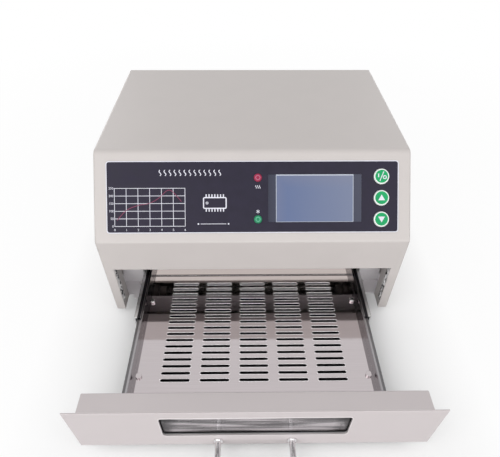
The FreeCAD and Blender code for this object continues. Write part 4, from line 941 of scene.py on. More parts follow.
def circle(x: float, s: float, radius: float, count: int) -> np.ndarray:
    """Points on a circle: its centre plus the radius times the cosine and the sine of each turn.

    Args:
        x: Centre across.
        s: Centre up the face.
        radius: Its radius.
        count: Number of points.

    Returns:
        The points, anticlockwise.
    """
    turn = np.linspace(0, FULL_TURN, count, endpoint=False)
    return np.stack([x + radius * np.cos(turn), s + radius * np.sin(turn)], axis=1)


def rounded_box(across: Pair, up: Pair, radius: float) -> np.ndarray:
    """Points round a rectangle with quarter-circle corners.

    Args:
        across: Its left and right sides.
        up: Its bottom and top sides.
        radius: Radius of the corners.

    Returns:
        The points, anticlockwise from the right.
    """
    left, right = across[0] + radius, across[1] - radius
    bottom, top = up[0] + radius, up[1] - radius
    turn = np.linspace(0, FULL_TURN / 4, CORNER_POINTS)
    arcs = []
    for quarter, (x, s) in enumerate([(right, top), (left, top), (left, bottom), (right, bottom)]):
        angle = turn + quarter * FULL_TURN / 4
        arcs.append(np.stack([x + radius * np.cos(angle), s + radius * np.sin(angle)], axis=1))
    return np.vstack(arcs)


def heat_wave(x: float, foot: float, height: float, swing: float, count: int) -> np.ndarray:
    """One whole sine wave that stands up the slope.

    Args:
        x: Its middle across.
        foot: Its lower end.
        height: Its height.
        swing: How far it swings to each side.
        count: Number of points.

    Returns:
        Points along the wave.
    """
    rise = np.linspace(0, 1, count)
    return np.stack([x + swing * np.sin(FULL_TURN * rise), foot + height * rise], axis=1)


def smooth_path(knots: np.ndarray, steps: int = 10) -> np.ndarray:
    """Curve through knots: cubic spans whose slopes are half the step between a knot's neighbours.

    Args:
        knots: Points to pass through.
        steps: Points on each span.

    Returns:
        Points along the curve.
    """
    padded = np.vstack([2 * knots[0] - knots[1], knots, 2 * knots[-1] - knots[-2]])
    spans = (padded[:-3], padded[1:-2], padded[2:-1], padded[3:])
    before, start, end, after = (points[:, None, :] for points in spans)
    t = np.linspace(0, 1, steps, endpoint=False)[None, :, None]
    curve = 2 * start + (end - before) * t + (2 * before - 5 * start + 4 * end - after) * t**2
    curve = (curve + (3 * start - before - 3 * end + after) * t**3) / 2
    return np.vstack([curve.reshape(-1, knots.shape[1]), knots[-1:]])


def digits(shell: Shell, text: str, x: float, s: float, height: float) -> None:
    """Add a number, set in the built-in face and centred on a place of the control face.

    Args:
        shell: Where it goes.
        text: The digits.
        x: Middle across.
        s: Middle up the slope.
        height: Height of the digits.
    """
    size_for_height, steps = 1.4, 3
    curve = bpy.data.curves.new("digits", "FONT")
    curve.body, curve.size, curve.extrude = text, height * size_for_height, INK / 2
    curve.align_x, curve.align_y = "CENTER", "CENTER"
    curve.resolution_u = steps
    words = bpy.data.objects.new("digits", curve)
    bpy.context.scene.collection.objects.link(words)
    bpy.context.view_layer.update()
    solid = words.evaluated_get(bpy.context.evaluated_depsgraph_get())
    mesh = bpy.data.meshes.new_from_object(solid)
    points = np.empty(len(mesh.vertices) * 3)
    mesh.vertices.foreach_get("co", points)
    points = points.reshape(-1, 3) + [x, s, OVERLAY_TOP + INK / 2]
    shell.faces += [[v + shell.count for v in polygon.vertices] for polygon in mesh.polygons]
    shell.points.append(on_face(points))
    shell.count += len(points)
    bpy.data.objects.remove(words)
    bpy.data.meshes.remove(mesh)


WHITE_INK = Finish("white_ink", (0.73, 0.73, 0.81), 0.5)
CRIMSON_INK = Finish("crimson_ink", (0.23, 0.025, 0.08), 0.5)


@dataclass
class ControlPrint:
    """White and crimson printing on the control face: chart, numerals and plain symbols, and a
    white line round the overlay's edge that is a painted highlight.

    Places and sizes are millimetres across and up the slope.
    """

    half_width: float = 142.5
    height: Pair = (9.0, 78.8)
    # Width of the painted highlight along the overlay's edge.
    border: float = 0.8
    corner: float = 2.6
    chart_x: Pair = (-134.5, -66.0)
    chart_s: Pair = (15.8, 52.6)
    columns: int = 6
    rows: int = 5
    grid_line: float = 0.5
    curve_line: float = 0.55
    grid_lift: float = 0.01
    curve_lift: float = 0.04
    digit_height: float = 2.3
    digit_share: float = 0.32
    digit_gap: float = 1.0
    digit_drop: float = 3.6
    row_step: int = 50
    waves_x: Pair = (-90.0, -32.0)
    waves: int = 13
    wave_foot: float = 64.6
    wave_height: float = 5.6
    wave_swing: float = 0.9
    wave_line: float = 0.8
    wave_points: int = 25
    chip: Pair = (-37.0, 38.2)
    chip_half: Pair = (11.0, 5.2)
    chip_corner: float = 1.2
    chip_line: float = 1.1
    legs: int = 7
    legs_half: float = 8.4
    leg_ends: Pair = (0.6, 3.2)
    dimple_inset: float = 3.4
    dimple_radius: float = 1.0
    dimple_line: float = 0.6
    dimple_sides: int = 24
    rule_x: Pair = (-51.0, -26.0)
    rule_s: float = 17.9
    rule_width: float = 0.5
    dot_gap: float = 2.2
    dot_radius: float = 0.8
    dot_sides: int = 20
    lamp_x: float = 5.0
    lamp_wave_pitch: float = 1.8
    lamp_wave_foot: float = 52.0
    lamp_wave_height: float = 3.2
    lamp_wave_swing: float = 0.45
    lamp_wave_line: float = 0.5
    lamp_wave_points: int = 17
    frost_s: float = 29.7
    frost_arm: float = 1.9
    frost_line: float = 0.45
    frost_lift: float = 0.004

    def build(self, effects: Effects) -> None:
        """Make every printed piece and let it ride on the chassis.

        Args:
            effects: The shared effects.
        """
        pieces = {
            "overlay_edge_highlight": self.border_shell(),
            "chart_grid": self.grid_shell(),
            "heat_ornament": self.heat_shell(),
            "chip_symbol": self.chip_shell(),
            "rule_line": self.rule_shell(),
            "lamp_symbols": self.lamp_shell(),
            "chart_curve": self.curve_shell(),
            "chart_numbers": self.number_shell(),
        }
        for name, shell in pieces.items():
            finish = CRIMSON_INK if name == "chart_curve" else WHITE_INK
            settle(shell.piece(name, finish.material(effects)), Body.CHASSIS)

    def border_shell(self) -> Shell:
        """Thin white line just inside the sheet's edge, a painted highlight of the film's edge.

        Returns:
            The line.
        """
        shell = Shell()
        inset = self.border / 2
        across = (inset - self.half_width, self.half_width - inset)
        up = (self.height[0] + inset, self.height[1] - inset)
        ink(shell, rounded_box(across, up, self.corner), self.border, closed=True)
        return shell

    def columns_at(self) -> np.ndarray:
        """Place of each upright line of the chart."""
        return np.linspace(*self.chart_x, self.columns + 1)

    def rows_at(self) -> np.ndarray:
        """Place of each level line of the chart."""
        return np.linspace(*self.chart_s, self.rows + 1)

    def grid_shell(self) -> Shell:
        """Lines of the chart, the level ones a hair above the upright ones.

        Returns:
            The lines.
        """
        shell = Shell()
        half = self.grid_line / 2
        left, right = self.chart_x[0] - half, self.chart_x[1] + half
        bottom, top = self.chart_s[0] - half, self.chart_s[1] + half
        for x in self.columns_at():
            ink(shell, [(x, bottom), (x, top)], self.grid_line)
        for s in self.rows_at():
            ink(shell, [(left, s), (right, s)], self.grid_line, OVERLAY_TOP + self.grid_lift)
        return shell

    def curve_shell(self) -> Shell:
        """Heating curve: steep start, shallow soak, peak and fall, in chart columns and rows.

        Returns:
            The curve.
        """
        soak = [(0.2, 0.8), (1.0, 2.1), (2.0, 2.75), (3.0, 3.05), (3.8, 3.75)]
        peak = [(4.35, 4.55), (4.7, 4.75), (5.05, 4.4), (5.7, 3.25)]
        origin = np.array([self.chart_x[0], self.chart_s[0]])
        step = np.array([self.columns_at()[1], self.rows_at()[1]]) - origin
        shell = Shell()
        path = smooth_path(np.array(soak + peak)) * step + origin
        ink(shell, path, self.curve_line, OVERLAY_TOP + self.curve_lift)
        return shell

    def number_shell(self) -> Shell:
        """Plain numbers beside and below the chart.

        Returns:
            The numbers.
        """
        shell = Shell()
        below = self.chart_s[0] - self.digit_drop
        for index, x in enumerate(self.columns_at()):
            digits(shell, str(index), x, below, self.digit_height)
        for index, s in enumerate(self.rows_at()):
            text = str(index * self.row_step)
            inset = self.digit_gap + self.digit_share * self.digit_height * len(text)
            digits(shell, text, self.chart_x[0] - inset, s, self.digit_height)
        return shell

    def heat_shell(self) -> Shell:
        """Row of rising heat waves.

        Returns:
            The waves.
        """
        shell = Shell()
        size = (self.wave_foot, self.wave_height, self.wave_swing, self.wave_points)
        for x in np.linspace(*self.waves_x, self.waves):
            ink(shell, heat_wave(x, *size), self.wave_line)
        return shell

    def chip_shell(self) -> Shell:
        """Outline of a chip with its legs and the dimple at its first leg.

        Returns:
            The symbol.
        """
        shell = Shell()
        (x, s), (half_w, half_h) = self.chip, self.chip_half
        across, up = (x - half_w, x + half_w), (s - half_h, s + half_h)
        ink(shell, rounded_box(across, up, self.chip_corner), self.chip_line, closed=True)
        near, far = (half_h + end for end in self.leg_ends)
        for leg in np.linspace(x - self.legs_half, x + self.legs_half, self.legs):
            for side in (-1, 1):
                ink(shell, [(leg, s + side * near), (leg, s + side * far)], self.chip_line)
        middle = across[0] + self.dimple_inset
        dimple = circle(middle, s, self.dimple_radius, self.dimple_sides)
        ink(shell, dimple, self.dimple_line, closed=True)
        return shell

    def rule_shell(self) -> Shell:
        """Fine rule with a dot at each end.

        Returns:
            The rule and its dots.
        """
        shell = Shell()
        left, right = self.rule_x
        ink(shell, [(left, self.rule_s), (right, self.rule_s)], self.rule_width)
        for x in (left - self.dot_gap, right + self.dot_gap):
            patch(shell, circle(x, self.rule_s, self.dot_radius, self.dot_sides))
        return shell

    def lamp_shell(self) -> Shell:
        """Three short heat waves under the upper lamp and a six-armed frost star over the lower.

        Returns:
            Both symbols.
        """
        shell = Shell()
        size = (self.lamp_wave_foot, self.lamp_wave_height, self.lamp_wave_swing)
        for place in (-1, 0, 1):
            x = self.lamp_x + place * self.lamp_wave_pitch
            ink(shell, heat_wave(x, *size, self.lamp_wave_points), self.lamp_wave_line)
        middle = np.array([self.lamp_x, self.frost_s])
        for turn in (np.arange(3) * 2 + 1) * FULL_TURN / 12:
            arm = self.frost_arm * np.array([math.cos(turn), math.sin(turn)])
            base = OVERLAY_TOP + self.frost_lift * turn
            ink(shell, [middle - arm, middle + arm], self.frost_line, base)
        return shell


@dataclass
class KeyMarks:
    """White marks on the keys: a bar and ring parted by a slash, and two triangles.

    Places of the marks' parts are millimetres from the middle of their key.
    """

    x: float = 125.7
    places: Triple = (63.3, 42.5, 21.7)
    top: float = 1.6
    bar: tuple[Pair, Pair] = ((-3.1, -0.9), (-3.1, 2.6))
    bar_line: float = 1.0
    slash: tuple[Pair, Pair] = ((-1.9, -4.6), (2.0, 4.6))
    slash_line: float = 0.8
    ring: Pair = (3.0, -0.9)
    ring_radius: float = 1.5
    ring_line: float = 0.9
    ring_sides: int = 32
    triangle: tuple[Pair, Pair, Pair] = ((-3.3, -2.475), (3.3, -2.475), (0.0, 3.135))

    def build(self, effects: Effects) -> None:
        """Make the three marks and let each ride on its key.

        Args:
            effects: The shared effects.
        """
        white = WHITE_INK.material(effects)
        power, up, down = self.places
        settle(self.power_shell(power).piece("power_mark", white), Body.POWER_KEY)
        settle(self.arrow_shell(up, 1).piece("up_mark", white), Body.UP_KEY)
        settle(self.arrow_shell(down, -1).piece("down_mark", white), Body.DOWN_KEY)

    def power_shell(self, s: float) -> Shell:
        """Bar at the upper left, ring at the lower right and a slash between them.

        Args:
            s: Middle of the key up the slope.

        Returns:
            The mark.
        """
        shell = Shell()
        middle = np.array([self.x, s])
        ink(shell, middle + self.bar, self.bar_line, self.top)
        ink(shell, middle + self.slash, self.slash_line, self.top)
        ring = circle(*(middle + self.ring), self.ring_radius, self.ring_sides)
        ink(shell, ring, self.ring_line, self.top, closed=True)
        return shell

    def arrow_shell(self, s: float, way: int) -> Shell:
        """Solid triangle.

        Args:
            s: Middle of the key up the slope.
            way: 1 to point up the slope and -1 to point down.

        Returns:
            The mark.
        """
        shell = Shell()
        outline = np.array([self.x, s]) + np.array(self.triangle) * [1, way]
        patch(shell, outline[::way], self.top)
        return shell


@dataclass
class HeaterWindings:
    """Wound heating wires in the quartz tubes."""

    first: float = 66.0
    pitch: float = 35.0
    count: int = 4
    height: float = 89.0
    half_length: float = 126.0
    coil_radius: float = 1.13
    wire_radius: float = 0.34
    turns: int = 80
    steps: int = 14
    sides: int = 6

    def build(self, finish: bpy.types.Material) -> None:
        """Make all the windings as one piece in place of the plain rods.

        Args:
            finish: Material of the wire.
        """
        shell = Shell()
        for index in range(self.count):
            shell.surface(self.winding(self.first + self.pitch * index), round_v=True)
        piece = shell.piece("wound_heater_wires", finish, smooth=True)
        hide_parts("heater_coils")
        settle(piece, Body.CHASSIS)

    def winding(self, depth: float) -> np.ndarray:
        """Helix about a tube's axis, with a small circle set radially and axially on each point.

        Args:
            depth: Depth of the tube behind the front.

        Returns:
            Grid of steps along the wire by sides round it.
        """
        along = np.linspace(0, 1, self.turns * self.steps + 1)
        turn = FULL_TURN * self.turns * along
        radial = np.stack([np.zeros_like(turn), np.cos(turn), np.sin(turn)], axis=1)
        x = (2 * along - 1) * (self.half_length - self.wire_radius)
        axial = np.array([1.0, 0.0, 0.0])
        centre = radial * self.coil_radius + x[:, None] * axial
        side = np.linspace(0, FULL_TURN, self.sides, endpoint=False)[None, :, None]
        ring = radial[:, None, :] * np.cos(side) + axial * np.sin(side)
        grid = centre[:, None, :] + self.wire_radius * ring
        return grid * MM + np.array([0.0, FRONT_Y + depth * MM, self.height * MM])


@dataclass
class CheekFoil:
    """Crinkled foil tape on the inner face of each cheek."""

    wall: float = 144.8
    depth: Pair = (1.0, 8.0)
    height: Pair = (18.0, 70.7)
    thickness: float = 0.08
    lift: float = 0.9
    edge_lift: float = 0.35
    shift_deep: float = 0.45
    shift_up: float = 0.55
    rows: int = 34
    columns: int = 6
    seed: int = 11

    def build(self, finish: bpy.types.Material) -> None:
        """Make both strips as one piece in place of the flat ones.

        Args:
            finish: Material of the foil.
        """
        shell = Shell()
        for side in (-1, 1):
            shell.sweep(self.strip(side), closed=False)
        piece = shell.piece("crinkled_foil", finish)
        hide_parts("cheek_foil_strips")
        settle(piece, Body.CHASSIS)

    def strip(self, side: int) -> np.ndarray:
        """Two skins: a flat back, and a front of facets whose corners are shifted at random.

        The corners are also lifted at random. Those on the four edges aren't shifted, and are
        lifted about a third as far.

        Args:
            side: 1 for the right-hand cheek and -1 for the left.

        Returns:
            Grid of rows by points round the strip's section.
        """
        chance = np.random.default_rng(self.seed + side)
        deep, up = np.linspace(*self.depth, self.columns), np.linspace(*self.height, self.rows)
        d, z = np.meshgrid(deep, up)
        inner = np.zeros_like(d)
        inner[1:-1, 1:-1] = 1
        d = d + inner * chance.uniform(-self.shift_deep, self.shift_deep, d.shape)
        z = z + inner * chance.uniform(-self.shift_up, self.shift_up, d.shape)
        most = (self.lift - self.thickness) * np.where(inner > 0, 1, self.edge_lift)
        lift = self.thickness + most * chance.uniform(0, 1, d.shape)
        y, height = FRONT_Y + d * MM, z * MM
        front = np.stack([side * (self.wall - lift) * MM, y, height], axis=-1)
        back = np.stack([np.full_like(d, side * self.wall * MM), y, height], axis=-1)
        return np.concatenate([front, back[:, ::-1]], axis=1)


@dataclass(frozen=True)
class Head:
    """One screw head: middle of its flat face in millimetres, and the axis and way it faces.

    The place is across, depth behind the front and height.
    """

    place: Triple
    axis: int
    way: int = 1
    radius: float = 3.0
    rise: float = 0.55

    def turned(self, points: np.ndarray) -> np.ndarray:
        """Carry points from the head's own directions, the last one outwards, into the frame.

        Args:
            points: Array whose last axis has three values in millimetres.

        Returns:
            The points in metres.
        """
        others = [i for i in range(3) if i != self.axis]
        turned = np.empty_like(points)
        turned[..., others] = points[..., :2]
        turned[..., self.axis] = points[..., 2] * self.way
        return (turned + np.array(self.place)) * MM + np.array([0.0, FRONT_Y, 0.0])


@dataclass
class ScrewHeads:
    """Domes and cross recesses on the screw heads that show.

    Places are millimetres; those on the back are measured from the rear panel.
    """

    arm: float = 1.6
    width: float = 0.6
    sides: int = 20
    rings: int = 5
    overlap: float = 0.02
    bar_step: float = 0.004
    tray_floor: Triple = (110.0, -6.5, 29.2)
    tray_front: Triple = (102.0, -136.1, 32.0)
    casing_side: float = 156.5
    side_depths: Triple = (48.0, 140.0, 238.0)
    low: float = 15.0
    panel: Pair = (140.0, 1.5)
    inlet: Triple = (105.0, 4.1, 42.0)
    inlet_half: float = 20.0
    inlet_radius: float = 2.8
    fan: Triple = (0.0, 3.8, 74.0)
    fan_half: float = 35.75
    fan_radius: float = 3.6

    def build(self, effects: Effects) -> None:
        """Make the domes and recesses; those of the tray ride with the drawer.

        Args:
            effects: The shared effects.
        """
        self.dress("case", self.case_heads(), Body.CHASSIS, effects)
        self.dress("tray", self.tray_heads(), Body.DRAWER, effects)

    def tray_heads(self) -> list[Head]:
        """Heads at the tray's rear corners and on its front."""
        places = ((self.tray_floor, 2), (self.tray_front, 1))
        return [Head((side * x, d, z), axis) for (x, d, z), axis in places for side in (-1, 1)]

    def case_heads(self) -> list[Head]:
        """Heads on the sides, flat because they are the widest point, and on the back.

        Returns:
            The heads.
        """
        rear = (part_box("rear_panel")[1].y - FRONT_Y) / MM
        heads = []
        for side in (-1, 1):
            edge = side * self.casing_side
            heads += [Head((edge, d, self.low), 0, side, rise=0.0) for d in self.side_depths]
            heads.append(Head((side * self.panel[0], rear + self.panel[1], self.low), 1))
            x, proud, z = self.inlet
            place = (x + side * self.inlet_half, rear + proud, z)
            heads.append(Head(place, 1, radius=self.inlet_radius))
            x, proud, z = self.fan
            for rise in (-self.fan_half, self.fan_half):
                place = (x + side * self.fan_half, rear + proud, z + rise)
                heads.append(Head(place, 1, radius=self.fan_radius))
        return heads

    def dress(self, name: str, heads: list[Head], body: Body, effects: Effects) -> None:
        """Make one set of domes and one of recesses.

        Args:
            name: Name of the set.
            heads: Its heads.
            body: Body that carries it.
            effects: The shared effects.
        """
        domes, crosses = Shell(), Shell()
        for head in heads:
            if head.rise:
                domes.surface(head.turned(self.dome(head)), round_v=True)
            for index in (0, 1):
                top = head.rise + self.overlap + self.bar_step * index
                crosses.prism(*(self.bar(index, z, head) for z in (-self.overlap, top)))
        bright, recess = BRIGHT.material(effects), RECESS.material(effects)
        settle(domes.piece(f"{name}_screw_domes", bright, smooth=True), body)
        settle(crosses.piece(f"{name}_screw_recesses", recess), body)

    def dome(self, head: Head) -> np.ndarray:
        """Surface of revolution: from the axis out under the rim, then a quarter ellipse back.

        Args:
            head: The head that it crowns.

        Returns:
            Grid of rings by sides, in the head's own directions.
        """
        turn = np.linspace(0, FULL_TURN, self.sides, endpoint=False)
        bend = np.linspace(0, FULL_TURN / 4, self.rings)
        radius = np.concatenate([[0.0], head.radius * np.cos(bend)])
        height = np.concatenate([[-self.overlap], head.rise * np.sin(bend)])
        x, y = radius[:, None] * np.cos(turn), radius[:, None] * np.sin(turn)
        return np.stack([x, y, np.broadcast_to(height[:, None], x.shape)], axis=-1)

    def bar(self, index: int, height: float, head: Head) -> np.ndarray:
        """Outline of one bar of the cross.

        Args:
            index: 0 or 1.
            height: Height over the head's flat face.
            head: The head that it is in.

        Returns:
            Its four corners in the frame.
        """
        half = np.array([self.arm, self.width / 2])
        corners = np.array([(-1, -1), (1, -1), (1, 1), (-1, 1)]) * half
        corners = corners[:, ::-1] if index else corners
        return head.turned(np.hstack([corners, np.full((4, 1), height)]))


def bead(outline: np.ndarray, profile: tuple[Pair, ...]) -> np.ndarray:
    """Rolled rim: a profile of offset and height carried round a closed outline, square to it.

    Args:
        outline: Points round the outline, anticlockwise.
        profile: Offset outwards and height of each point of the section.

    Returns:
        Grid of outline points by section points: two flat coordinates and a height.
    """
    along = np.roll(outline, -1, axis=0) - np.roll(outline, 1, axis=0)
    along /= np.linalg.norm(along, axis=1, keepdims=True)
    outwards = np.stack([along[:, 1], -along[:, 0]], axis=1)
    section = np.array(profile)
    flat = outline[:, None, :] + outwards[:, None, :] * section[None, :, :1]
    height = np.broadcast_to(section[None, :, 1:], (*flat.shape[:2], 1))
    return np.concatenate([flat, height], axis=-1)


@dataclass
class RolledRims:
    """Rolled rims of the tray's air slots and the turned lip of the drawer's window opening."""

    rows: int = 17
    columns: int = 5
    row_pitch: float = 7.74
    column_pitch: float = 37.6
    first_row: float = -104.3
    half_length: float = 14.2
    half_width: float = 1.65
    slot_corner: float = 1.64
    tray_top: float = 27.0
    panel_front: float = -158.0
    window_half: float = 79.2
    window_height: Pair = (27.2, 59.1)
    window_corner: float = 3.0
    slot_rim: tuple[Pair, ...] = (
        (0.54, -0.75), (0.54, -0.02), (0.35, 0.09), (0.06, 0.13),
        (-0.13, 0.03), (-0.24, -0.2), (-0.26, -0.75),
    )
    window_lip: tuple[Pair, ...] = (
        (0.0, -0.3), (0.0, 0.25), (0.35, 0.45), (0.8, 0.25), (1.0, -0.02),
    )

    def build(self, steel: bpy.types.Material, paint: bpy.types.Material) -> None:
        """Make both and let them ride on the drawer.

        Args:
            steel: Finish of the slots' rims, a paler copy of the tray's steel as a painted
                highlight.
            paint: Finish of the window's lip, a paler copy of the drawer's paint as a painted
                highlight.
        """
        slots = self.slot_shell().piece("slot_rims", steel, smooth=True)
        settle(slots, Body.DRAWER)
        window = self.window_shell().piece("window_lip", paint, smooth=True)
        settle(window, Body.DRAWER)

    def slot_shell(self) -> Shell:
        """One rim round every slot of the tray.

        Returns:
            The rims.
        """
        shell = Shell()
        across = (-self.half_length, self.half_length)
        slot = rounded_box(across, (-self.half_width, self.half_width), self.slot_corner)
        rim = bead(slot, self.slot_rim)
        columns = (np.arange(self.columns) - (self.columns - 1) / 2) * self.column_pitch
        rows = self.first_row + np.arange(self.rows) * self.row_pitch
        for x, d in ((x, d) for x in columns for d in rows):
            placed = (rim + [x, d, self.tray_top]) * MM + [0.0, FRONT_Y, 0.0]
            shell.sweep(placed, closed=True)
        return shell

    def window_shell(self) -> Shell:
        """Lip round the window, standing out from the panel's front.

        Returns:
            The lip.
        """
        shell = Shell()
        across = (-self.window_half, self.window_half)
        lip = bead(rounded_box(across, self.window_height, self.window_corner), self.window_lip)
        front = np.stack([lip[..., 0], self.panel_front - lip[..., 2], lip[..., 1]], axis=-1)
        shell.sweep(front * MM + [0.0, FRONT_Y, 0.0], closed=True)
        return shell


@dataclass
class RearMarks:
    """Bar and ring on the mains rocker and a plain disc on the fan's hub.

    The rocker's vee and tip are millimetres behind its pivot, and the tip also above it.
    """

    pivot: Triple = (105.0, 261.3, 84.0)
    lean: float = -9.0
    vee: float = 2.2
    tip: Pair = (3.6, 7.4)
    bar: tuple[Pair, Pair] = ((0.0, 2.6), (0.0, 5.4))
    bar_line: float = 0.8
    ring: Pair = (0.0, 4.0)
    ring_radius: float = 1.4
    ring_line: float = 0.6
    ring_sides: int = 28
    fan_height: float = 74.0
    disc_radius: float = 13.0
    disc_rise: float = 0.05
    disc_sides: int = 48

    def build(self, effects: Effects) -> None:
        """Make the marks and let them ride on the rocker and the fan.

        Args:
            effects: The shared effects.
        """
        marks = Shell()
        marks.sweep(self.on_rocker(stroke(np.array(self.bar), self.bar_line, 0.0), 1), False)
        ring = circle(*self.ring, self.ring_radius, self.ring_sides)
        ring = stroke(ring, self.ring_line, 0.0, closed=True)
        marks.sweep(self.on_rocker(ring, -1), True)
        white = WHITE_INK.material(effects)
        settle(marks.piece("rocker_marks", white), Body.ROCKER)
        hub = (0.0, (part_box("fan_rotor")[1].y - FRONT_Y) / MM, self.fan_height)
        head = Head(hub, 1, radius=self.disc_radius, rise=self.disc_rise)
        disc = Shell()
        disc.surface(head.turned(ScrewHeads(sides=self.disc_sides).dome(head)), round_v=True)
        settle(disc.piece("hub_disc", STICKER.material(effects)), Body.FAN)

    def on_rocker(self, grid: np.ndarray, half: int) -> np.ndarray:
        """Lay a printed line on one half of the rocker's vee face.

        Args:
            grid: Line in millimetres: across, along the face from the vee, and outwards.
            half: 1 for the upper half and -1 for the lower.

        Returns:
            The line in the frame.
        """
        rise = np.array([self.tip[0] - self.vee, self.tip[1]])
        rise /= np.linalg.norm(rise)
        across, along, out = np.moveaxis(grid, -1, 0)
        depth = self.vee + along * rise[0] + out * rise[1]
        height = half * (along * rise[1] - out * rise[0])
        sine, cosine = math.sin(math.radians(self.lean)), math.cos(math.radians(self.lean))
        turned = [across, depth * cosine - height * sine, depth * sine + height * cosine]
        return (np.stack(turned, axis=-1) + np.array(self.pivot)) * MM + [0.0, FRONT_Y, 0.0]


# Painted sheet, with pale copies of the paint as painted light on the window's lip and on the
# bulkhead and base plate.
PAINT = Paint("stoved_grey_paint", (0.55, 0.513, 0.498), 0.45)
DRAWER_PAINT = Paint("drawer_grey_paint", (0.545, 0.498, 0.502), 0.45)
# Paler copy of the drawer's paint on the window's lip, as a painted highlight.
WINDOW_LIP_HIGHLIGHT = Paint("window_lip_highlight_paint", (0.74, 0.70, 0.705), 0.45)
# Near-white copy of the paint on the bulkhead and base plate, as painted light in the shaded bay.
LIGHTENED_PAINT = Paint("lightened_sheet", (0.92, 0.89, 0.91), 0.5, edge=(0.93, 0.91, 0.92))

# Polished steel. From a line 11.7 mm ahead of its rear fold the tray is paler, a painted
# reflection; just ahead of the fold a dark line is painted shade in the crease, and the side walls
# are darkened with painted shade.
POLISHED = Metal(
    "polished_steel", (0.53, 0.485, 0.495), 0.045, 1.0, line=0.003, wave=0.22, drift=0.02)
# Paler copy of the tray's steel on the slots' rims, as a painted highlight.
SLOT_RIM_HIGHLIGHT = Metal("slot_rim_highlight_steel", (0.80, 0.77, 0.78), 0.10, 1.0, line=0.0)
TRAY_FOLD = FRONT_Y + 33.2 * MM
TRAY = BandedMetal(
    "polished_tray", POLISHED.colour, POLISHED.roughness, 1.0,
    line=POLISHED.line, wave=POLISHED.wave, drift=POLISHED.drift,
    bands=(
        Band(TRAY_FOLD - 11.7 * MM, (0.80, 0.75, 0.72), deep=True),
        Band(TRAY_FOLD - 1.4 * MM, (0.10, 0.09, 0.095), deep=True),
        Band(TRAY_FOLD, (0.64, 0.60, 0.595), deep=True),
        Band(0.1146, (0.27, 0.255, 0.265)),
    ))

# Zinc-plated slides: a dark band between their channels is painted shade and a pale band beside it
# is a painted highlight; on the moving members a darker outer band is painted shade.
SLIDE_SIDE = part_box("right_slide_middle")[1].x - 0.0003
SLIDE_LINES: Triple = (900.0, 25.0, 900.0)
ZINC = BandedMetal(
    "zinc_plate", (0.50, 0.48, 0.49), 0.25, 1.0, stretch=SLIDE_LINES, line=0.04,
    bands=(
        Band(0.1178, (0.04, 0.038, 0.042)),
        Band(0.1213, (0.76, 0.76, 0.76)),
        Band(SLIDE_SIDE, (0.36, 0.355, 0.36)),
    ))
MOVING_ZINC = BandedMetal(
    "bright_zinc_plate", (0.36, 0.345, 0.355), 0.22, 1.0, stretch=SLIDE_LINES, line=0.03,
    bands=(Band(0.1185, (0.15, 0.145, 0.15)),))

# Other metals.
CHAMBER = Metal("chamber_steel", (0.76, 0.74, 0.72), 0.16, 1.0, line=0.03, wave=0.3)
BRIGHT = Metal(
    "bright_steel", (0.80, 0.79, 0.78), 0.16, 1.0, stretch=(300.0, 300.0, 300.0), line=0.02)
CHROME = Metal("chrome_plate", (0.80, 0.79, 0.80), 0.14, 1.0, line=0.0)
BRASS = Metal("brass_pillar", (0.62, 0.47, 0.21), 0.3, 1.0)
SINK = Metal("black_anodised", (0.05, 0.05, 0.055), 0.4, 0.8)
WIRE = Metal("resistance_wire", (0.22, 0.19, 0.17), 0.45, 1.0)
FOIL = Foil("foil_tape", (0.98, 0.97, 0.97), 0.22, 0.25)

# Plastics, rubber and ceramics.
OVERLAY = Plastic(
    "overlay_film", (0.015, 0.012, 0.027), 0.45, texture=0.2,
    constants=(("Specular IOR Level", 0.25),))
BLACK_PLASTIC = Plastic("black_plastic", (0.022, 0.022, 0.023), 0.45)
RUBBER = Plastic("black_rubber", (0.018, 0.018, 0.018), 0.75, texture=0.4)
GASKET = Plastic("grey_silicone", (0.28, 0.275, 0.28), 0.6, texture=0.3)
BOARD = Plastic("circuit_board", (0.02, 0.13, 0.07), 0.38, texture=0.1)
CABLE = Plastic("grey_cable", (0.36, 0.36, 0.38), 0.5)
CORE = Plastic("transformer_core", (0.09, 0.085, 0.08), 0.6, texture=0.5)
CERAMIC = Plastic("brown_steatite", (0.26, 0.24, 0.22), 0.6, texture=0.3)
RECESS = Plastic("screw_recess", (0.03, 0.03, 0.03), 0.6)
MODULE = Plastic("display_module", (0.06, 0.065, 0.075), 0.4)
STICKER = Plastic("hub_sticker", (0.42, 0.43, 0.44), 0.4)
BLANKET = Fibre("fibre_blanket", (0.80, 0.77, 0.70), 0.95)

# Glass and the display.
# The window's pane is darkened towards its ends as painted shade and in streaks as painted
# reflection.
PANE = Glass(
    "window_glass", (0.80, 0.80, 0.815), 0.02,
    constants=(("Transmission Weight", 1.0), ("IOR", 1.30)),
    clear_half=0.061, browned_half=0.077, streaky=0.9)
QUARTZ = Glass(
    "quartz_tube", (0.93, 0.93, 0.92), 0.06,
    constants=(("Transmission Weight", 1.0), ("IOR", 1.45)))
SCREEN = Screen(
    "display_screen", (0.038, 0.040, 0.062), 0.18, constants=(("Specular IOR Level", 0.3),))


@dataclass(frozen=True)
class CapPlace:
    """Where a round cap sits on the control face, in millimetres, and how it is coloured."""

    node: str
    x: float
    s: float
    colour: Triple
    band: Triple
    radii: Pair
    roughness: float

    def finish(self) -> RimmedCap:
        """Finish of the cap, banded round its own axis.

        Returns:
            The finish.
        """
        centre = tuple(on_face(np.array([self.x, self.s, 0.0])).tolist())
        return RimmedCap(
            f"{self.node}_cap", self.colour, self.roughness,
            constants=(("Specular IOR Level", 0.3),),
            centre=centre, axis=tuple(face_axes()[2].tolist()),
            band=self.band, band_radii=(self.radii[0] * MM, self.radii[1] * MM))


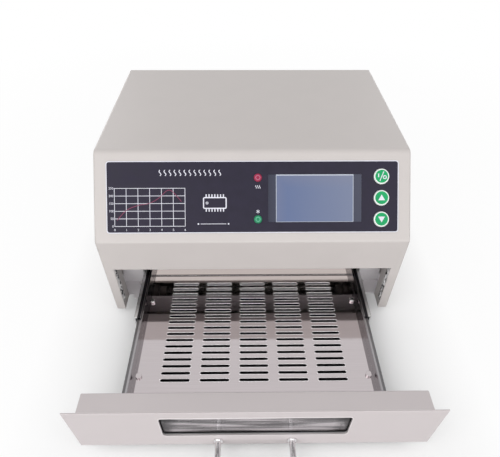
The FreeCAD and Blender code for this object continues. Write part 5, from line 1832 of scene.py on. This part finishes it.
@dataclass
class Caps:
    """The three keys and the two lamps on the control face."""

    key_colour: Triple = (0.004, 0.33, 0.11)
    key_rim: Triple = (0.80, 0.84, 0.82)
    key_radii: Pair = (6.3, 99.0)
    key_roughness: float = 0.38
    lamp_x: float = 5.0
    heat_s: float = 62.5
    # The second colour of each lamp is a painted highlight in a ring round its lens.
    heat_colours: tuple[Triple, Triple] = ((0.30, 0.020, 0.062), (0.45, 0.15, 0.23))
    cool_s: float = 22.1
    cool_colours: tuple[Triple, Triple] = ((0.018, 0.215, 0.10), (0.14, 0.44, 0.30))
    lamp_radii: Pair = (1.7, 2.4)
    lamp_roughness: float = 0.25

    def finishes(self) -> dict[str, Finish]:
        """Finish of each cap, by node.

        Returns:
            The finishes.
        """
        marks = KeyMarks()
        key = (self.key_colour, self.key_rim, self.key_radii, self.key_roughness)
        names = ("power_key", "up_key", "down_key")
        caps = [CapPlace(name, marks.x, s, *key) for name, s in zip(names, marks.places)]
        lens = (self.lamp_radii, self.lamp_roughness)
        caps.append(CapPlace("heat_lamp", self.lamp_x, self.heat_s, *self.heat_colours, *lens))
        caps.append(CapPlace("cool_lamp", self.lamp_x, self.cool_s, *self.cool_colours, *lens))
        return {cap.node: cap.finish() for cap in caps}


def inlet_finish() -> Inlet:
    """Finish of the mains inlet, whose pins stand in its socket behind its outer face.

    Returns:
        The finish.
    """
    x, sunk, z = 105.0 * MM, 11.0 * MM, 42.0 * MM
    pins = (x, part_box("mains_inlet")[1].y - sunk, z)
    return Inlet("inlet_plastic", (0.02, 0.02, 0.021), 0.4, pin_centre=pins)


def node_finishes() -> dict[str, Finish]:
    """Finish of every solid that stays in view or inside the casing, by node.

    Returns:
        The finishes.
    """
    groups: dict[Finish, str] = {
        PAINT: "top_cover right_side_panel left_side_panel rear_panel",
        LIGHTENED_PAINT: "front_bulkhead base_plate",
        DRAWER_PAINT: "drawer_front_panel drawer_front_box",
        TRAY: "drawer_tray",
        POLISHED: "window_frame tray_screws",
        CHAMBER: "chamber_right_wall chamber_left_wall chamber_rear_wall chamber_roof "
        "chamber_floor right_tube_bracket left_tube_bracket",
        ZINC: "right_slide_fixed left_slide_fixed right_slide_middle left_slide_middle",
        MOVING_ZINC: "right_slide_moving left_slide_moving",
        BRIGHT: "case_screws slide_screws drawer_front_screws rear_screws temperature_probes",
        CHROME: "drawer_handle fan_guard",
        BRASS: "board_standoffs",
        SINK: "triac_heatsink",
        WIRE: "heater_coils",
        OVERLAY: "control_overlay",
        BLACK_PLASTIC: "fan_frame fan_rotor switch_housing switch_rocker key_switches",
        RUBBER: "rubber_feet",
        GASKET: "window_gasket",
        BOARD: "control_board power_board",
        CABLE: "control_ribbon",
        CORE: "transformer",
        CERAMIC: "tube_end_caps",
        MODULE: "display_module",
        PANE: "window_glass",
        QUARTZ: "heater_tubes",
        FOIL: "cheek_foil_strips",
        BLANKET: "insulation_blanket",
        SCREEN: "display_window",
        inlet_finish(): "mains_inlet",
    }
    found = {node: finish for finish, nodes in groups.items() for node in nodes.split()}
    return found | Caps().finishes()


def dress_nodes(effects: Effects) -> None:
    """Give every solid its material.

    Args:
        effects: The shared effects.
    """
    finishes = node_finishes()
    for name, thing in frame["nodes"].items():
        material = finishes[name].material(effects)
        for place in thing.material_slots:
            place.material = material
        log.info("%s is finished in %s", name, material.name)


@dataclass(frozen=True)
class Lamp:
    """Rectangular soft light: its place, its width and height in metres, and its power in watts."""

    name: str
    place: Triple
    size: Pair
    power: float


@dataclass
class Studio:
    """Pale floor, soft lights and the camera at the photograph's angle.

    The floor is whiter in view away from the footprint, by two shares that grow over two reaches.
    Under the cover, a rectangle about the origin, its colour is darkened as a painted shadow where
    the oven shuts off the sky.
    """

    floor_size: float = 12.0
    floor_seen: Triple = (0.95, 0.95, 0.95)
    floor_bounce: Triple = (0.50, 0.50, 0.50)
    floor_covered: Triple = (0.004, 0.004, 0.006)
    cover_height: float = 0.12
    cover: Triple = (0.105, 0.155, 1.0)
    cover_fade: float = 0.02
    cover_samples: int = 24
    shut_off: Pair = (0.48, 0.30)
    footprint: Triple = (0.13, 0.20, 1.0)
    reaches: Triple = (0.0, 0.10, 0.7)
    shares: Pair = (0.88, 0.12)
    ambient: float = 0.50
    aim: Triple = (0.0, 0.0, 0.08)
    lamps: tuple[Lamp, ...] = (
        Lamp("left_light", (-1.25, -1.05, 1.75), (1.4, 1.4), 13.0),
        Lamp("right_light", (1.25, -1.05, 1.75), (1.4, 1.4), 6.2),
        Lamp("low_front_light", (0.0, -2.2, 0.70), (3.0, 1.2), 33.0),
        Lamp("left_rear_light", (-1.5, 2.0, 0.55), (1.4, 0.9), 14.0),
        Lamp("right_rear_light", (1.5, 2.0, 0.55), (1.4, 0.9), 7.0),
    )
    camera_place: Triple = (-0.00763, -0.31390, 0.38813)
    pitch: float = 46.552
    yaw: float = -0.884
    roll: float = 0.299
    focal_pixels: float = 427.72
    image_width: int = 500
    shift: float = 0.1
    sensor: float = 36.0
    nearest: float = 0.01

    def build(self) -> None:
        """Make the floor, the surroundings, the lights and the camera."""
        self.floor()
        self.surroundings()
        for lamp in self.lamps:
            self.light(lamp)
        self.camera()
        bpy.context.scene.view_settings.view_transform = "Standard"

    def floor(self) -> None:
        """Wide plain floor, which keeps the oven's shadow, with a painted shadow darkening its
        colour close under the oven.
        """
        half = self.floor_size / 2
        shell = Shell()
        corners = [(-half, -half, 0), (half, -half, 0), (half, half, 0), (-half, half, 0)]
        shell.cap(np.array(corners, float))
        material, tree = blank_material("studio_floor")
        seen, size = self.seen(tree), tree.vector("ABSOLUTE", tree.objects())
        plain = tree.mix(seen, self.floor_bounce, self.floor_seen)
        # Painted shadow: the floor's colour is darkened close under the oven.
        dark = tree.mix(self.covered(tree, size), plain, self.floor_covered)
        matt = tree.add("BsdfDiffuse", {"Color": dark})
        white = tree.add("Emission", {"Color": WHITE, "Strength": 1.0})
        away = self.past(tree, size, self.footprint)
        spans = zip(self.reaches, self.reaches[1:], self.shares)
        near, far = (tree.remap(away, (low, high), (0.0, most)) for low, high, most in spans)
        share = tree.math("MULTIPLY", seen, tree.math("ADD", near, far))
        mixed = tree.add("MixShader", {0: share, 1: matt.outputs[0], 2: white.outputs[0]})
        tree.add("OutputMaterial", {0: mixed.outputs[0]})
        shell.piece("studio_floor", material)

    def covered(self, tree: Tree, size: Socket) -> Socket:
        """Mask of the painted shadow on the floor close under the oven.

        Args:
            tree: The floor's tree.
            size: Socket of a place's coordinates without their signs.

        Returns:
            Socket that is 1 where the oven shuts off the sky.
        """
        distance = {"Distance": self.cover_height}
        sky = tree.add("AmbientOcclusion", distance, samples=self.cover_samples).outputs["AO"]
        beside = self.past(tree, size, self.cover)
        under = tree.remap(beside, (0.0, self.cover_fade), (1.0, 0.0))
        return tree.math("MULTIPLY", under, tree.remap(sky, self.shut_off))

    @staticmethod
    def past(tree: Tree, size: Socket, half: Triple) -> Socket:
        """Distance of a place outside a box about the origin.

        Args:
            tree: The floor's tree.
            size: Socket of the place's coordinates without their signs.
            half: Half sizes of the box.

        Returns:
            The distance's socket.
        """
        over = tree.vector("MAXIMUM", tree.vector("SUBTRACT", size, half))
        return tree.vector("LENGTH", over)

    @staticmethod
    def seen(tree: Tree) -> Socket:
        """Mask of rays that show the floor or the surroundings.

        Args:
            tree: The tree that needs it.

        Returns:
            Socket that is 1 for straight, glossy and transmitted rays.
        """
        path = tree.add("LightPath").outputs
        direct = tree.math("ADD", path["Is Camera Ray"], path["Is Glossy Ray"])
        every = tree.math("ADD", direct, path["Is Transmission Ray"])
        return tree.math("MINIMUM", every, 1.0)

    def surroundings(self) -> None:
        """White in view and a soft grey light on the object."""
        world = bpy.data.worlds.new("studio")
        world.use_nodes = True
        world.node_tree.nodes.clear()
        tree = Tree(world.node_tree)
        strength = tree.remap(self.seen(tree), (0.0, 1.0), (self.ambient, 1.0))
        glow = tree.add("Background", {"Color": WHITE, "Strength": strength})
        tree.add("OutputWorld", {0: glow.outputs[0]})
        bpy.context.scene.world = world

    def light(self, lamp: Lamp) -> None:
        """Place one light and aim it at the oven.

        Args:
            lamp: The light.
        """
        data = bpy.data.lights.new(lamp.name, "AREA")
        data.shape, data.energy = "RECTANGLE", lamp.power
        data.size, data.size_y = lamp.size
        thing = bpy.data.objects.new(lamp.name, data)
        back = np.array(lamp.place) - np.array(self.aim)
        back /= np.linalg.norm(back)
        right = np.cross([0.0, 0.0, 1.0], back)
        right /= np.linalg.norm(right)
        thing.matrix_world = self.pose(right, np.cross(back, right), back, lamp.place)
        bpy.context.scene.collection.objects.link(thing)

    def camera(self) -> None:
        """Camera turned by yaw, pitch and roll, in that order, from level along the depth."""
        yaw, pitch, roll = (math.radians(a) for a in (self.yaw, self.pitch, self.roll))
        right = np.array([math.cos(yaw), math.sin(yaw), 0.0])
        ahead = np.array([-math.sin(yaw), math.cos(yaw), 0.0])
        up = np.array([0.0, 0.0, 1.0])
        view = ahead * math.cos(pitch) - up * math.sin(pitch)
        down = -up * math.cos(pitch) - ahead * math.sin(pitch)
        turned = right * math.cos(roll) - down * math.sin(roll)
        down = right * math.sin(roll) + down * math.cos(roll)
        data = bpy.data.cameras.new("photo_camera")
        data.sensor_width = self.sensor
        data.lens = self.focal_pixels / self.image_width * self.sensor
        data.shift_y = self.shift
        data.clip_start = self.nearest
        thing = bpy.data.objects.new("photo_camera", data)
        x, y, z = self.camera_place
        thing.matrix_world = self.pose(turned, -down, -view, (x, y + FRONT_Y, z))
        bpy.context.scene.collection.objects.link(thing)
        bpy.context.scene.camera = thing

    @staticmethod
    def pose(right: np.ndarray, up: np.ndarray, back: np.ndarray, place: Triple) -> Matrix:
        """Matrix from three directions and a place.

        Args:
            right: Direction of the thing's own X axis.
            up: Direction of its Y axis.
            back: Direction of its Z axis.
            place: Where it stands.

        Returns:
            The matrix.
        """
        rows = np.eye(4)
        rows[:3] = np.stack([right, up, back, place], axis=1)
        return Matrix(rows.tolist())


def main() -> None:
    """Dress the solids, add the pieces that they lack and set up the studio."""
    logging.basicConfig(level=logging.INFO)
    effects = Effects()
    dress_nodes(effects)
    ControlPrint().build(effects)
    KeyMarks().build(effects)
    HeaterWindings().build(WIRE.material(effects))
    CheekFoil().build(FOIL.material(effects))
    ScrewHeads().build(effects)
    RolledRims().build(SLOT_RIM_HIGHLIGHT.material(effects), WINDOW_LIP_HIGHLIGHT.material(effects))
    RearMarks().build(effects)
    Studio().build()


if __name__ == "__main__":
    main()
